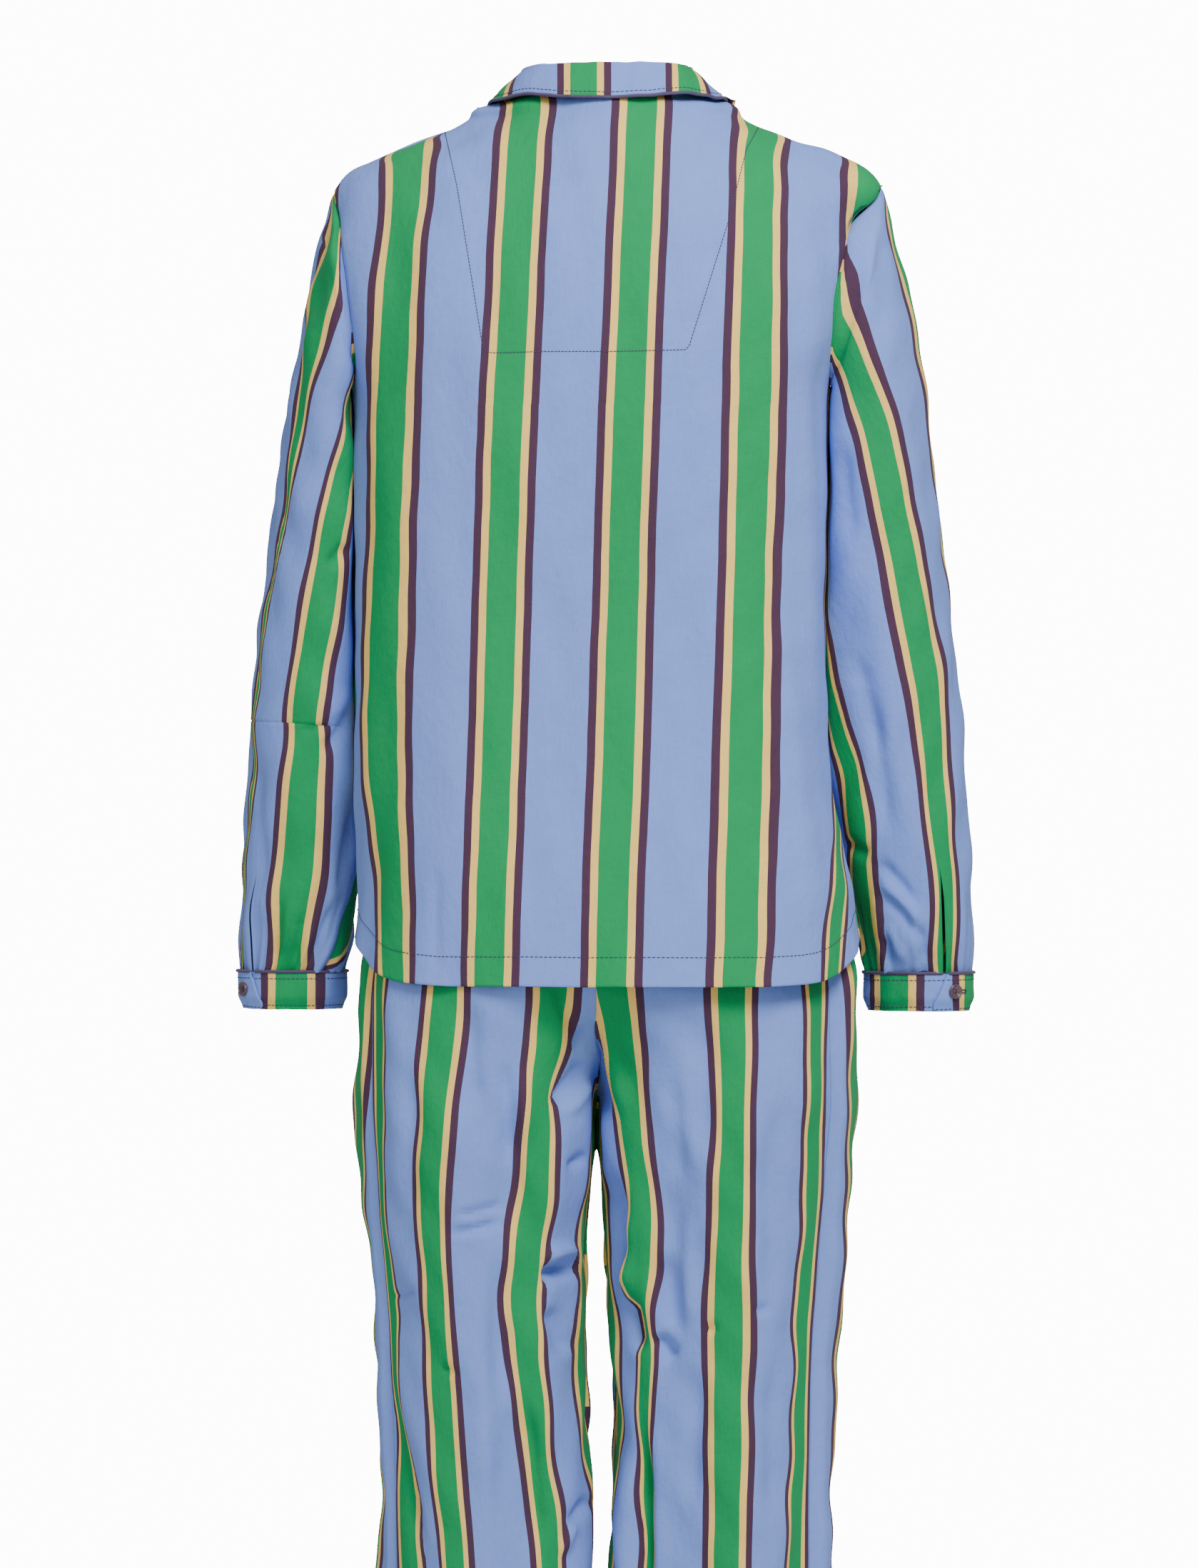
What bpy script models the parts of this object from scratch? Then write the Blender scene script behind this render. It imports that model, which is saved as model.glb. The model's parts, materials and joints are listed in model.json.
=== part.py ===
"""A piped pyjama shirt and straight trousers, hollow, in the pose they take when worn.

Metres, +Z up. The front faces -Y and the wearer's left is +X. The origin is the middle of the
neck, at the height where the shoulders carry the shirt. Every cloth piece is a wall between two
faces of one surface: rings whose half widths and depths come from the tables below.
"""
import math

import bpy
import numpy as np
from mathutils import Matrix

COLLECTION = "pyjama_set"

# --- Cloth and seams -----------------------------------------------------------------------
WALL = 0.0018
COLLAR_WALL = 0.0015
WAISTBAND_WALL = 0.0025
SEAM_WALL = 0.0011  # the sleeve's wall at the armhole
SEAM_GAP = 0.0004
PIPING_RADIUS = 0.0013
PIPING_CLEAR = 0.0005  # from the cloth it is sewn to
SHIRT_TURN = 0.09  # how far the shirt is turned on the figure, as a slope of Y over X
TROUSER_TURN = 0.05

# --- Shirt ---------------------------------------------------------------------------------
SHOULDER_TIP = -0.052
ARMPIT = -0.205
ARMHOLE_INSET = 0.018  # how far the armhole cuts in from the side at its middle
NECK_HALF = 0.0745
NECK_SIDE = 0.013
NECK_BACK_RISE = 0.004
NECK_FRONT_DROP = 0.083
HEM_LOW = -0.657
HEM_LIFT = 0.037
HEM_CURVE = 8.8  # how sharply the hem curves up to the side seams
SIDE_STEPS, ARMHOLE_STEPS, SHOULDER_STEPS = 10, 9, 6  # rows of the shirt's panels
BACK_COLUMNS, FRONT_COLUMNS = 20, 10
EDGE_LEVEL = -0.262  # where the armpit's row meets the front edge
CHEST = -0.300  # the height at which the placket's width is measured
NECK_SWING, NECK_SWING_TOP = -0.160, -0.090  # the front edges run in to the neck's middle here
PLACKET_HALF = 0.013
PLACKET_STEP = 0.0045  # how far the under front lies behind the one that laps over it
PLACKET_REACH, PLACKET_SOFT = 0.034, 0.016  # from the middle to where that step ends
FRONT_BUTTONS = 5
FRONT_BUTTON_TOP = -0.088
FRONT_BUTTON_STEP = 0.112

# Rings of the shirt body. left and right are the half widths at +X and -X, square is the
# superellipse exponent: under 2 for the lens across the shoulders, over 2 for the flat back.
BODY = (
    # z,      left,   right,  back,  front, square
    (-0.662,  0.2010, 0.2010, 0.134, 0.124, 2.40),
    (-0.640,  0.1950, 0.1960, 0.131, 0.121, 2.40),
    (-0.615,  0.1890, 0.1900, 0.128, 0.118, 2.45),
    (-0.5805, 0.1875, 0.1850, 0.123, 0.114, 2.50),
    (-0.548,  0.1885, 0.1770, 0.118, 0.111, 2.55),
    (-0.510,  0.1900, 0.1695, 0.112, 0.108, 2.60),
    (-0.436,  0.1910, 0.1655, 0.105, 0.105, 2.70),
    (-0.343,  0.1914, 0.1650, 0.102, 0.106, 2.75),
    (-0.267,  0.1912, 0.1665, 0.105, 0.112, 2.75),
    (-0.205,  0.1930, 0.1690, 0.107, 0.115, 2.65),
    (-0.163,  0.2050, 0.1830, 0.107, 0.113, 2.50),
    (-0.1215, 0.2140, 0.1925, 0.104, 0.106, 2.30),
    (-0.0815, 0.2110, 0.1970, 0.097, 0.093, 2.05),
    (-0.052,  0.2060, 0.2070, 0.087, 0.080, 1.75),
    (-0.0405, 0.1955, 0.1940, 0.083, 0.073, 1.65),
    (-0.0189, 0.1500, 0.1425, 0.073, 0.055, 1.55),
    (-0.0027, 0.1060, 0.1045, 0.065, 0.040, 1.60),
    (0.0081,  0.0985, 0.0960, 0.059, 0.028, 1.75),
    (0.0130,  0.0745, 0.0745, 0.055, 0.020, 1.90),
    (0.0185,  0.0640, 0.0640, 0.051, 0.014, 2.00),
)

# Sleeve rings, as the point at the outer side and the one at the inner side of each, with the
# middle and the half of its depth. Both sleeves use them, mirrored.
SLEEVE = (
    # outer_x, outer_z, inner_x, inner_z, middle, half
    (0.2105, -0.0610, 0.1740, -0.2065, -0.004, 0.061),
    (0.2170, -0.0850, 0.1730, -0.2120, -0.005, 0.062),
    (0.2235, -0.1150, 0.1700, -0.2200, -0.007, 0.062),
    (0.2315, -0.1520, 0.1660, -0.2320, -0.010, 0.061),
    (0.2385, -0.1950, 0.1610, -0.2520, -0.014, 0.060),
    (0.2450, -0.2457, 0.1580, -0.2800, -0.019, 0.059),
    (0.2508, -0.2890, 0.1560, -0.3100, -0.023, 0.058),
    (0.2566, -0.3320, 0.1550, -0.3430, -0.028, 0.056),
    (0.2643, -0.3980, 0.1550, -0.4000, -0.036, 0.055),
    (0.2702, -0.4617, 0.1580, -0.4620, -0.043, 0.053),
    (0.2732, -0.5050, 0.1640, -0.5050, -0.048, 0.052),
    (0.2756, -0.5480, 0.1740, -0.5480, -0.052, 0.050),
    (0.2770, -0.5805, 0.1840, -0.5805, -0.055, 0.048),
    (0.2780, -0.6075, 0.1895, -0.6075, -0.057, 0.046),
    (0.2780, -0.6237, 0.1918, -0.6237, -0.058, 0.043),
    (0.2776, -0.6360, 0.1945, -0.6360, -0.058, 0.038),
    (0.2768, -0.6475, 0.1975, -0.6475, -0.058, 0.033),
)
CUFF_TOP = -0.6479
CUFF_HEIGHT = 0.0285
CUFF_HALF_WIDTH = 0.0402
CUFF_HALF_DEPTH = 0.0325
CUFF_MIDDLE = (0.2372, -0.058)
CUFF_BOTTOM_TUCK = 0.0035
CUFF_OVERLAP = 42.0  # degrees
CUFF_LAYER = 0.0006  # between the cuff's two layers where it laps over itself
CUFF_PIPING_DROP = 0.0009
CUFF_BUTTON_AT = 0.47  # of the cuff's height, from its top
CAP_NARROWING = 0.75  # how sharply the sleeve's head narrows to the shoulder's ridge
CAP_RINGS = 4
CAP_ROW = 0.45  # a row between the armhole and the first ring, as a share of the way
BODY_CLEARANCE, BODY_CLEARANCE_SOFT = 0.0016, 0.006  # between sleeve and shirt body
CROSS_SEAM_RING = 9  # the ring where the left sleeve is joined at the elbow
SLIT_TOP = -0.565
SLIT_HALF_ANGLE = 2.4
SLIT_CLEAR_ANGLE = 3.0  # from the slit's edge to the next column of points
GATHER_COUNT = 11
GATHER_DEPTH = 0.055  # as a share of the sleeve's radius
GATHER_TOP, GATHER_SOFT = -0.560, 0.08
# Angles round the sleeve from its outer side towards the back, in degrees. reach is how much
# further out than the table the arm hangs, tuck how much further out its inner side starts.
SLEEVE_SIDES = (
    # name,   sign, slit, edge_top, edge_low, button, reach,  tuck
    ("left",   1.0, 39.0, 41.0,     57.0,     31.0,   0.0035, 0.021),
    ("right", -1.0, 62.0, 60.0,     78.0,     52.0,   0.0000, 0.000),
)

# --- Collar --------------------------------------------------------------------------------
COLLAR_END = -84.0  # degrees round the neck, where each front end is
COLLAR_LIFT = 0.0050  # of the collar's edge over the fronts
COLLAR_SETTLE, COLLAR_SETTLE_SOFT = -20.0, 14.0  # ahead of this angle the edge lies on the fronts
FOLD_RADIUS = 0.0021
COLLAR_RINGS = (
    # at,   fold_x, fold_y, fold_z, edge_x, edge_y, edge_z
    (-84.0, 0.010, -0.094, -0.0600, 0.050, -0.107, -0.1120),
    (-70.0, 0.026, -0.088, -0.0530, 0.061, -0.096, -0.0940),
    (-50.0, 0.045, -0.068, -0.0350, 0.073, -0.076, -0.0640),
    (-30.0, 0.058, -0.041, -0.0080, 0.083, -0.046, -0.0300),
    (-12.0, 0.0625, -0.016, 0.0210, 0.088, -0.021, 0.0010),
    (5.0,   0.0635, 0.006, 0.0335, 0.0888, 0.006, 0.0135),
    (25.0,  0.0600, 0.026, 0.0370, 0.0800, 0.032, 0.0165),
    (45.0,  0.0480, 0.040, 0.0385, 0.0600, 0.051, 0.0180),
    (65.0,  0.0280, 0.048, 0.0395, 0.0340, 0.062, 0.0160),
    (90.0,  0.0000, 0.051, 0.0400, 0.0000, 0.066, 0.0150),
)

# --- Trousers ------------------------------------------------------------------------------
WAIST_TOP = -0.437
WAIST_HEIGHT = 0.036
CROTCH = -0.770
SEAT_TOP = -0.630  # where the seat starts to curve in to the crotch
THIGH_LOW = -0.930  # below here the legs are nearly straight
LEG_HEM = -1.501
TROUSER_BACK_COLUMNS, TROUSER_FRONT_COLUMNS, WAISTBAND_COLUMNS = 10, 11, 32
TROUSER_CENTRE = 0.0078
HIPS = (
    # z,      left,   right,  back,  front, square
    (-0.437,  0.1480, 0.1400, 0.092, 0.092, 2.30),
    (-0.480,  0.1600, 0.1500, 0.098, 0.097, 2.40),
    (-0.530,  0.1740, 0.1600, 0.104, 0.101, 2.50),
    (-0.580,  0.1790, 0.1740, 0.111, 0.106, 2.50),
    (-0.620,  0.1810, 0.1825, 0.117, 0.110, 2.50),
    (-0.640,  0.1860, 0.1870, 0.119, 0.112, 2.50),
    (-0.660,  0.1888, 0.1895, 0.121, 0.113, 2.50),
    (-0.700,  0.1900, 0.1905, 0.122, 0.114, 2.50),
    (-0.753,  0.1900, 0.1900, 0.120, 0.113, 2.50),
    (-0.800,  0.1870, 0.1860, 0.118, 0.111, 2.50),
)
LEGS = (
    # z,      left_out, left_in, right_out, right_in, back,  front
    (-0.620,  0.1810,   0.0080,  -0.1825,   0.0076,   0.115, 0.108),
    (-0.753,  0.1900,   0.0080,  -0.1900,   0.0074,   0.106, 0.101),
    (-0.7857, 0.1874,   0.0084,  -0.1865,   0.0070,   0.102, 0.098),
    (-0.8073, 0.1858,   0.0096,  -0.1850,   0.0062,   0.099, 0.096),
    (-0.829,  0.1841,   0.0125,  -0.1824,   0.0048,   0.096, 0.094),
    (-0.856,  0.1811,   0.0145,  -0.1805,   0.0027,   0.093, 0.092),
    (-0.883,  0.1787,   0.0151,  -0.1777,   0.0005,   0.090, 0.089),
    (-0.910,  0.1766,   0.0146,  -0.1752,   -0.0011,  0.088, 0.087),
    (-0.937,  0.1755,   0.0146,  -0.1735,   -0.0027,  0.086, 0.085),
    (-0.991,  0.1733,   0.0138,  -0.1723,   -0.0052,  0.083, 0.082),
    (-1.045,  0.1719,   0.0112,  -0.1715,   -0.0047,  0.081, 0.080),
    (-1.094,  0.1717,   0.0092,  -0.1721,   -0.0030,  0.080, 0.079),
    (-1.300,  0.1722,   0.0085,  -0.1724,   -0.0025,  0.078, 0.078),
    (-1.501,  0.1730,   0.0080,  -0.1730,   -0.0020,  0.078, 0.078),
)
LEG_SQUARE = 2.25
# Side seams sit behind the widest line, so some of each front panel shows from behind.
TROUSER_SIDES = (
    # name,   hip_seam, leg_seam, in degrees from the side towards the back
    ("left",  23.0,     34.0),
    ("right", 31.0,     42.0),
)

# --- Large folds, as soft ridges (+) and troughs (-) ----------------------------------------
BODY_FOLD_SOFT, LEG_FOLD_SOFT = 0.05, 0.08  # over which they fade out at each end
BODY_FOLDS = (
    # x,     top,    bottom, half_width, height, lean
    (0.126,  -0.50,  -0.70,  0.012,      0.0022, 0.00),
    (0.150,  -0.12,  -0.60,  0.030,      0.0030, 0.02),
    (-0.130, -0.20,  -0.66,  0.032,      -0.0030, 0.01),
    (-0.100, -0.30,  -0.72,  0.028,      0.0030, 0.02),
    (0.040,  -0.34,  -0.72,  0.040,      -0.0028, -0.01),
)
LEG_FOLDS = (
    # leg, at (degrees), top, bottom, half_width (degrees), height, lean (degrees a metre)
    (1, 70.0, -0.70, -1.20, 16.0, 0.0060, 30.0),
    (1, 105.0, -0.70, -1.30, 14.0, -0.0065, 10.0),
    (1, 135.0, -0.74, -1.05, 12.0, 0.0060, -50.0),
    (1, 125.0, -0.72, -0.84, 12.0, 0.0060, 90.0),
    (-1, 80.0, -0.66, -1.52, 15.0, 0.0055, 0.0),
    (-1, 112.0, -0.72, -1.30, 13.0, -0.0065, 12.0),
    (-1, 140.0, -0.74, -1.10, 12.0, 0.0065, 30.0),
    (1, -80.0, -0.72, -1.52, 16.0, 0.0055, 5.0),
    (1, -120.0, -0.74, -1.30, 14.0, -0.0055, 10.0),
    (-1, -75.0, -0.72, -1.52, 16.0, 0.0055, -5.0),
    (-1, -115.0, -0.74, -1.25, 14.0, -0.0055, -10.0),
)

BUTTON_RADIUS = 0.0056
BUTTON_THICKNESS = 0.0024
BUTTON_CLEAR = 0.0007  # its flat back from the cloth

# colour, roughness
FINISHES = {
    "cloth": ((0.30, 0.39, 0.60, 1.0), 0.85),
    "piping": ((0.083, 0.050, 0.105, 1.0), 0.7),
    "button": ((0.095, 0.062, 0.066, 1.0), 0.35),
}


# --- Tables and curves ----------------------------------------------------------------------
def column(table, index, at, key=0):
    """Reads a column of a table smoothly at the given values of its key column."""
    rows = sorted(table, key=lambda row: row[key])
    keys = np.array([row[key] for row in rows])
    values = np.array([row[index] for row in rows])
    slopes = np.gradient(values, keys)
    at = np.clip(np.asarray(at, float), keys[0], keys[-1])
    low = np.clip(np.searchsorted(keys, at) - 1, 0, len(keys) - 2)
    span = keys[low + 1] - keys[low]
    t = (at - keys[low]) / span
    return (
        values[low] * (1 + 2 * t) * (1 - t) ** 2
        + slopes[low] * span * t * (1 - t) ** 2
        + values[low + 1] * t**2 * (3 - 2 * t)
        + slopes[low + 1] * span * t**2 * (t - 1)
    )


def ease(value):
    """0 to 1, with level ends."""
    value = np.clip(value, 0.0, 1.0)
    return value * value * (3 - 2 * value)


def power(value, exponent):
    return np.sign(value) * np.abs(value) ** exponent


def unit(vector):
    return vector / np.maximum(np.linalg.norm(vector, axis=-1, keepdims=True), 1e-12)


def bump(distance):
    return np.exp(-(distance**2))


def between(z, bottom, top, soft):
    """1 between two heights, fading out over a soft stretch at each end."""
    return ease((z - bottom) / soft) * ease((top - z) / soft)


def turned(points, slope):
    """Turns points about the vertical, as a shear of Y over X."""
    points[..., 1] -= slope * points[..., 0]
    return points


def stack(x, y, z):
    return np.stack(np.broadcast_arrays(x, y, z), axis=-1).astype(float)


# --- The shirt body --------------------------------------------------------------------------
def body_size(z, side):
    """Half width on a side, back depth, front depth and squareness of the ring at a height."""
    width = np.where(side > 0, column(BODY, 1, z), column(BODY, 2, z))
    return width, column(BODY, 3, z), column(BODY, 4, z), column(BODY, 5, z)


def body_folds(x, z, back):
    depth = 0.0
    for fold_x, top, bottom, half, height, lean in BODY_FOLDS:
        across = (x - fold_x - lean * (z - top)) / half
        depth = depth + height * bump(across) * between(z, bottom, top, BODY_FOLD_SOFT)
    return depth * back


def body(angle, z):
    """The outside of the shirt at an angle (radians from +X, by the back) and a height."""
    c, s = np.cos(angle), np.sin(angle)
    width, back, front, square = body_size(z, c)
    x = width * power(c, 2 / square)
    y = np.where(s > 0, back, front) * power(s, 2 / square)
    y = y + body_folds(x, z, np.abs(s) ** 1.5 * np.sign(s))
    return turned(stack(x, y, z), SHIRT_TURN)


def body_angle(x, z, back=True):
    """The angle at which the ring at height z passes x."""
    width, _, _, square = body_size(z, x)
    c = np.sign(x) * np.clip(np.abs(x) / width, 0, 1) ** (square / 2)
    angle = np.arccos(c)
    return angle if back else -angle


def armhole_edge(z):
    """How far in from the side the armhole's edge is at a height."""
    c = np.clip((2 * z - SHOULDER_TIP - ARMPIT) / (SHOULDER_TIP - ARMPIT), -1, 1)
    return ARMHOLE_INSET * (1 - c * c) ** 1.3


def side_angle(z, sign):
    """Angle from the side line to the armhole's back or front edge: 0 where there is none."""
    width, _, _, square = body_size(z, sign)
    c = ((width - armhole_edge(z)) / width) ** (square / 2)
    return np.arccos(np.clip(c, -1, 1))


def hem_height(angle):
    """The hem drops from the side seams in a shirt-tail curve."""
    return HEM_LOW + HEM_LIFT * np.abs(np.cos(angle)) ** HEM_CURVE


def neckline(turn):
    """Angle and height of the neck seam: turn is 90 degrees at the back, 0 at the side."""
    x = NECK_HALF * np.cos(turn)
    s = np.sin(turn)
    z = NECK_SIDE + np.where(s > 0, NECK_BACK_RISE * s, NECK_FRONT_DROP * s)
    return body_angle(x, z, True) * np.where(s >= 0, 1, -1), z


def patch(bottom, top, first, last, rows, columns):
    """Coons patch in the plane of angle and height from four edge curves of 0 to 1."""
    u, v = np.meshgrid(columns, rows)
    b, t = np.stack(bottom(u)), np.stack(top(u))
    f, l = np.stack(first(v)), np.stack(last(v))
    b0, b1 = (np.stack(bottom(np.full_like(u, k))) for k in (0.0, 1.0))
    t0, t1 = (np.stack(top(np.full_like(u, k))) for k in (0.0, 1.0))
    flat = (1 - u) * (1 - v) * b0 + u * (1 - v) * b1 + (1 - u) * v * t0 + u * v * t1
    return (1 - v) * b + v * t + (1 - u) * f + u * l - flat


def armhole_height(turn):
    """Height of the armhole's edge: turn is 0 at the shoulder tip and 180 degrees at the armpit."""
    return (SHOULDER_TIP + ARMPIT) / 2 + (SHOULDER_TIP - ARMPIT) / 2 * np.cos(turn)


def side_heights():
    """Heights of the rows at the side: below the armhole, along it, and along the shoulder."""
    return np.concatenate([
        np.linspace(HEM_LOW + HEM_LIFT, ARMPIT, SIDE_STEPS, endpoint=False),
        armhole_height(np.linspace(np.pi, 0, ARMHOLE_STEPS + 1)),
        np.linspace(SHOULDER_TIP, NECK_SIDE, SHOULDER_STEPS + 1)[1:],
    ])


# --- Meshes ----------------------------------------------------------------------------------
def normals(surface, u, v, step=1e-4):
    along = surface(u + step, v) - surface(u - step, v)
    up = surface(u, v + step) - surface(u, v - step)
    return unit(np.cross(along, up))


def grid_normals(points, closed):
    """Normals of a grid: outward where its columns run counter-clockwise and its rows upward."""
    if closed:
        along = np.roll(points, -1, axis=1) - np.roll(points, 1, axis=1)
    else:
        along = np.gradient(points, axis=1)
    return unit(np.cross(along, np.gradient(points, axis=0)))


def draw_in(points):
    """Moves all four edges of a grid in by half a seam's gap."""
    moved = points.copy()
    for edge, inner in ((0, 1), (-1, -2)):
        moved[edge] += unit(points[inner] - points[edge]) * SEAM_GAP / 2
        moved[:, edge] += unit(points[:, inner] - points[:, edge]) * SEAM_GAP / 2
    return moved


def finish(name):
    colour, rough = FINISHES[name]
    material = bpy.data.materials.new(name)
    material.use_nodes = True
    shader = material.node_tree.nodes["Principled BSDF"]
    shader.inputs["Base Color"].default_value = colour
    shader.inputs["Roughness"].default_value = rough
    return material


def add_object(name, points, faces, material):
    mesh = bpy.data.meshes.new(name)
    mesh.from_pydata([tuple(map(float, point)) for point in points], [], faces)
    mesh.shade_smooth()
    mesh.materials.append(finish(material))
    made = bpy.data.objects.new(name, mesh)
    bpy.data.collections[COLLECTION].objects.link(made)


def add_wall(name, outer, inner, material="cloth", closed=False, open_cells=()):
    """A closed wall between two grids of the same shape, rimmed round every free edge."""
    rows, columns = outer.shape[:2]
    count = rows * columns
    points = np.concatenate([outer.reshape(-1, 3), inner.reshape(-1, 3)])
    faces, edges = [], {}
    for r, c in np.ndindex(rows - 1, columns if closed else columns - 1):
        if (r, c) in open_cells:
            continue
        d = (c + 1) % columns
        corners = (r * columns + c, r * columns + d, (r + 1) * columns + d, (r + 1) * columns + c)
        faces.append(corners)
        faces.append(tuple(count + k for k in reversed(corners)))
        for a, b in zip(corners, corners[1:] + corners[:1]):
            edges[(a, b)] = edges.get((a, b), 0) + 1
    for a, b in edges:
        if (b, a) not in edges:
            faces.append((b, a, count + a, count + b))
    cell = np.cross(outer[0, 1] - outer[0, 0], outer[1, 0] - outer[0, 0])
    if np.dot(cell, outer[0, 0] - inner[0, 0]) < 0:
        faces = [face[::-1] for face in faces]
    used = sorted({k for face in faces for k in face})
    renumber = {old: new for new, old in enumerate(used)}
    faces = [tuple(renumber[k] for k in face) for face in faces]
    add_object(name, points[used], faces, material)


def add_panel(name, surface, u, v, facing=1.0):
    """A wall on a surface of two parameters, with a seam's gap round it."""
    outer = draw_in(surface(u, v))
    add_wall(name, outer, outer - facing * WALL * normals(surface, u, v))


def add_tube(name, path, radius, material):
    """A round cord along a path, as a curve with a bevel and filled caps."""
    curve = bpy.data.curves.new(name, "CURVE")
    curve.dimensions = "3D"
    curve.bevel_depth = radius
    curve.bevel_resolution = 1
    curve.use_fill_caps = True
    spline = curve.splines.new("POLY")
    spline.points.add(len(path) - 1)
    for point, place in zip(spline.points, path):
        point.co = (*map(float, place), 1.0)
    curve.materials.append(finish(material))
    made = bpy.data.objects.new(name, curve)
    bpy.data.collections[COLLECTION].objects.link(made)


# --- Shirt pieces ------------------------------------------------------------------------------
SHIRT_ROWS = np.linspace(0, 1, SIDE_STEPS + ARMHOLE_STEPS + SHOULDER_STEPS + 1)


def back_panel():
    def bottom(u):
        return np.pi * u, hem_height(np.pi * u)

    def top(u):
        return neckline(np.pi * u)

    def left_edge(v):
        z = np.interp(v, SHIRT_ROWS, side_heights())
        return side_angle(z, 1.0), z

    def right_edge(v):
        z = np.interp(v, SHIRT_ROWS, side_heights())
        return np.pi - side_angle(z, -1.0), z

    columns = np.linspace(0, 1, BACK_COLUMNS + 1)
    angle, z = patch(bottom, top, left_edge, right_edge, SHIRT_ROWS, columns)
    add_panel("shirt_back", body, angle, z)


def front_panel(name, sign, inner_x, under):
    """A front, from its side seam to its edge just past the middle."""
    inner = body_angle(np.array(inner_x), np.array(CHEST), False)

    def at_side(angle):
        return angle if sign > 0 else -np.pi - angle

    def bottom(u):
        angle = (1 - u) * at_side(0.0) + u * inner
        return angle, hem_height(angle)

    def top(u):
        angle, z = neckline(-u * np.pi / 2)
        return at_side(angle), z

    def outer_edge(v):
        z = np.interp(v, SHIRT_ROWS, side_heights())
        return at_side(-side_angle(z, sign)), z

    def inner_edge(v):
        armpit_row = SIDE_STEPS / (len(SHIRT_ROWS) - 1)
        levels = (float(hem_height(inner)), EDGE_LEVEL, NECK_SIDE - NECK_FRONT_DROP)
        z = np.interp(v, (0.0, armpit_row, 1.0), levels)
        share = ease((z - NECK_SWING) / (NECK_SWING_TOP - NECK_SWING))
        return (1 - share) * inner + share * (-np.pi / 2), z

    def surface(angle, z):
        points = body(angle, z)
        points[..., 1] += under * ease((PLACKET_REACH - np.abs(points[..., 0])) / PLACKET_SOFT)
        return points

    columns = np.linspace(0, 1, FRONT_COLUMNS + 1)
    angle, z = patch(bottom, top, outer_edge, inner_edge, SHIRT_ROWS, columns)
    add_panel(name, surface, angle, z)


def front_button(name, z):
    angle = body_angle(np.array(0.0), np.array(z), False)
    add_button(name, body(angle, np.array(z)), normals(body, angle, np.array(z)))


# --- Sleeves -----------------------------------------------------------------------------------
def sleeve_angles(slit):
    """Angles round the sleeve: those of the armhole's rows, but for a pair at the slit's edges."""
    even = np.linspace(0, 360, 2 * ARMHOLE_STEPS, endpoint=False)
    apart = even[np.abs(even - slit) > SLIT_HALF_ANGLE + SLIT_CLEAR_ANGLE]
    edges = [slit - SLIT_HALF_ANGLE, slit + SLIT_HALF_ANGLE]
    return np.radians(np.sort(np.append(apart, edges)))


def armhole_loop(turn, sign):
    """The armhole's edge as the panels' rows have it: turn 0 is the tip, 90 degrees the back."""
    exact = np.linspace(0, 2 * np.pi, 2 * ARMHOLE_STEPS + 1)
    z = armhole_height(exact)
    angle = side_angle(z, sign) * np.sign(np.sin(exact))
    around = angle if sign > 0 else np.pi - angle
    points, outward = body(around, z), normals(body, around, z)
    return tuple(
        np.stack([np.interp(turn, exact, values[:, k]) for k in range(3)], axis=-1)
        for values in (points, outward)
    )


def lean_clear(direction, loop, loop_normal):
    """Directions for the sleeve's edge that never lean over the body's edge beside it."""
    along = np.roll(loop, -1, axis=0) - np.roll(loop, 1, axis=0)
    into_hole = unit(np.cross(along, loop_normal))
    inward = np.sum(into_hole * (loop.mean(axis=0) - loop), axis=-1, keepdims=True)
    into_hole *= np.sign(inward)
    lean = np.maximum(np.sum(direction * into_hole, axis=-1, keepdims=True), 0)
    return unit(direction - lean * into_hole)


def clear_of_body(points, sign):
    """Pushes points below the armpit out sideways until they are clear of the shirt body."""
    x, y, z = points[..., 0], points[..., 1], points[..., 2]
    width, back, front, square = body_size(z, np.full_like(z, sign))
    own_y = y + SHIRT_TURN * x
    depth = np.where(own_y > 0, back, front)
    share = np.clip(np.abs(own_y) / depth, 0, 1)
    edge = width * (1 - share**square) ** (1 / square) + BODY_CLEARANCE
    edge = np.where(np.abs(own_y) < depth, edge, 0.0)
    reach = sign * x
    blend = np.clip((reach - edge) / BODY_CLEARANCE_SOFT, -1, 1)
    pushed = np.where(blend < 1, edge + BODY_CLEARANCE_SOFT * (blend + 1) ** 2 / 4, reach)
    below = z < ARMPIT + BODY_CLEARANCE
    moved = points.copy()
    moved[..., 0] = sign * np.where(below, np.maximum(pushed, reach), reach)
    return moved


def sleeve_rings(turn, sign, reach, tuck):
    rings = []
    for index, (out_x, out_z, in_x, in_z, middle, half) in enumerate(SLEEVE):
        share = (1 + np.cos(turn)) / 2
        in_x += tuck * ease((in_z + 0.60) / 0.15)
        cap = max(0.0, 1 - index / CAP_RINGS)
        narrow = CAP_NARROWING * cap * np.maximum(np.cos(turn), 0) ** 0.3
        x = in_x + (out_x - in_x) * share
        z = in_z + (out_z - in_z) * share
        y = middle + half * power(np.sin(turn), 0.94 + narrow)
        gather = ease((GATHER_TOP - z) / GATHER_SOFT)
        ripple = 1 + gather * GATHER_DEPTH * np.cos(GATHER_COUNT * turn)
        centre = (out_x + in_x) / 2
        x = centre + (x - centre) * ripple
        y = middle + (y - middle) * ripple
        x = x + reach * ease((ARMPIT / 2 - z) / 0.2)
        rings.append(turned(stack(sign * x, y, z), SHIRT_TURN))
    return clear_of_body(np.array(rings), sign)


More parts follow.
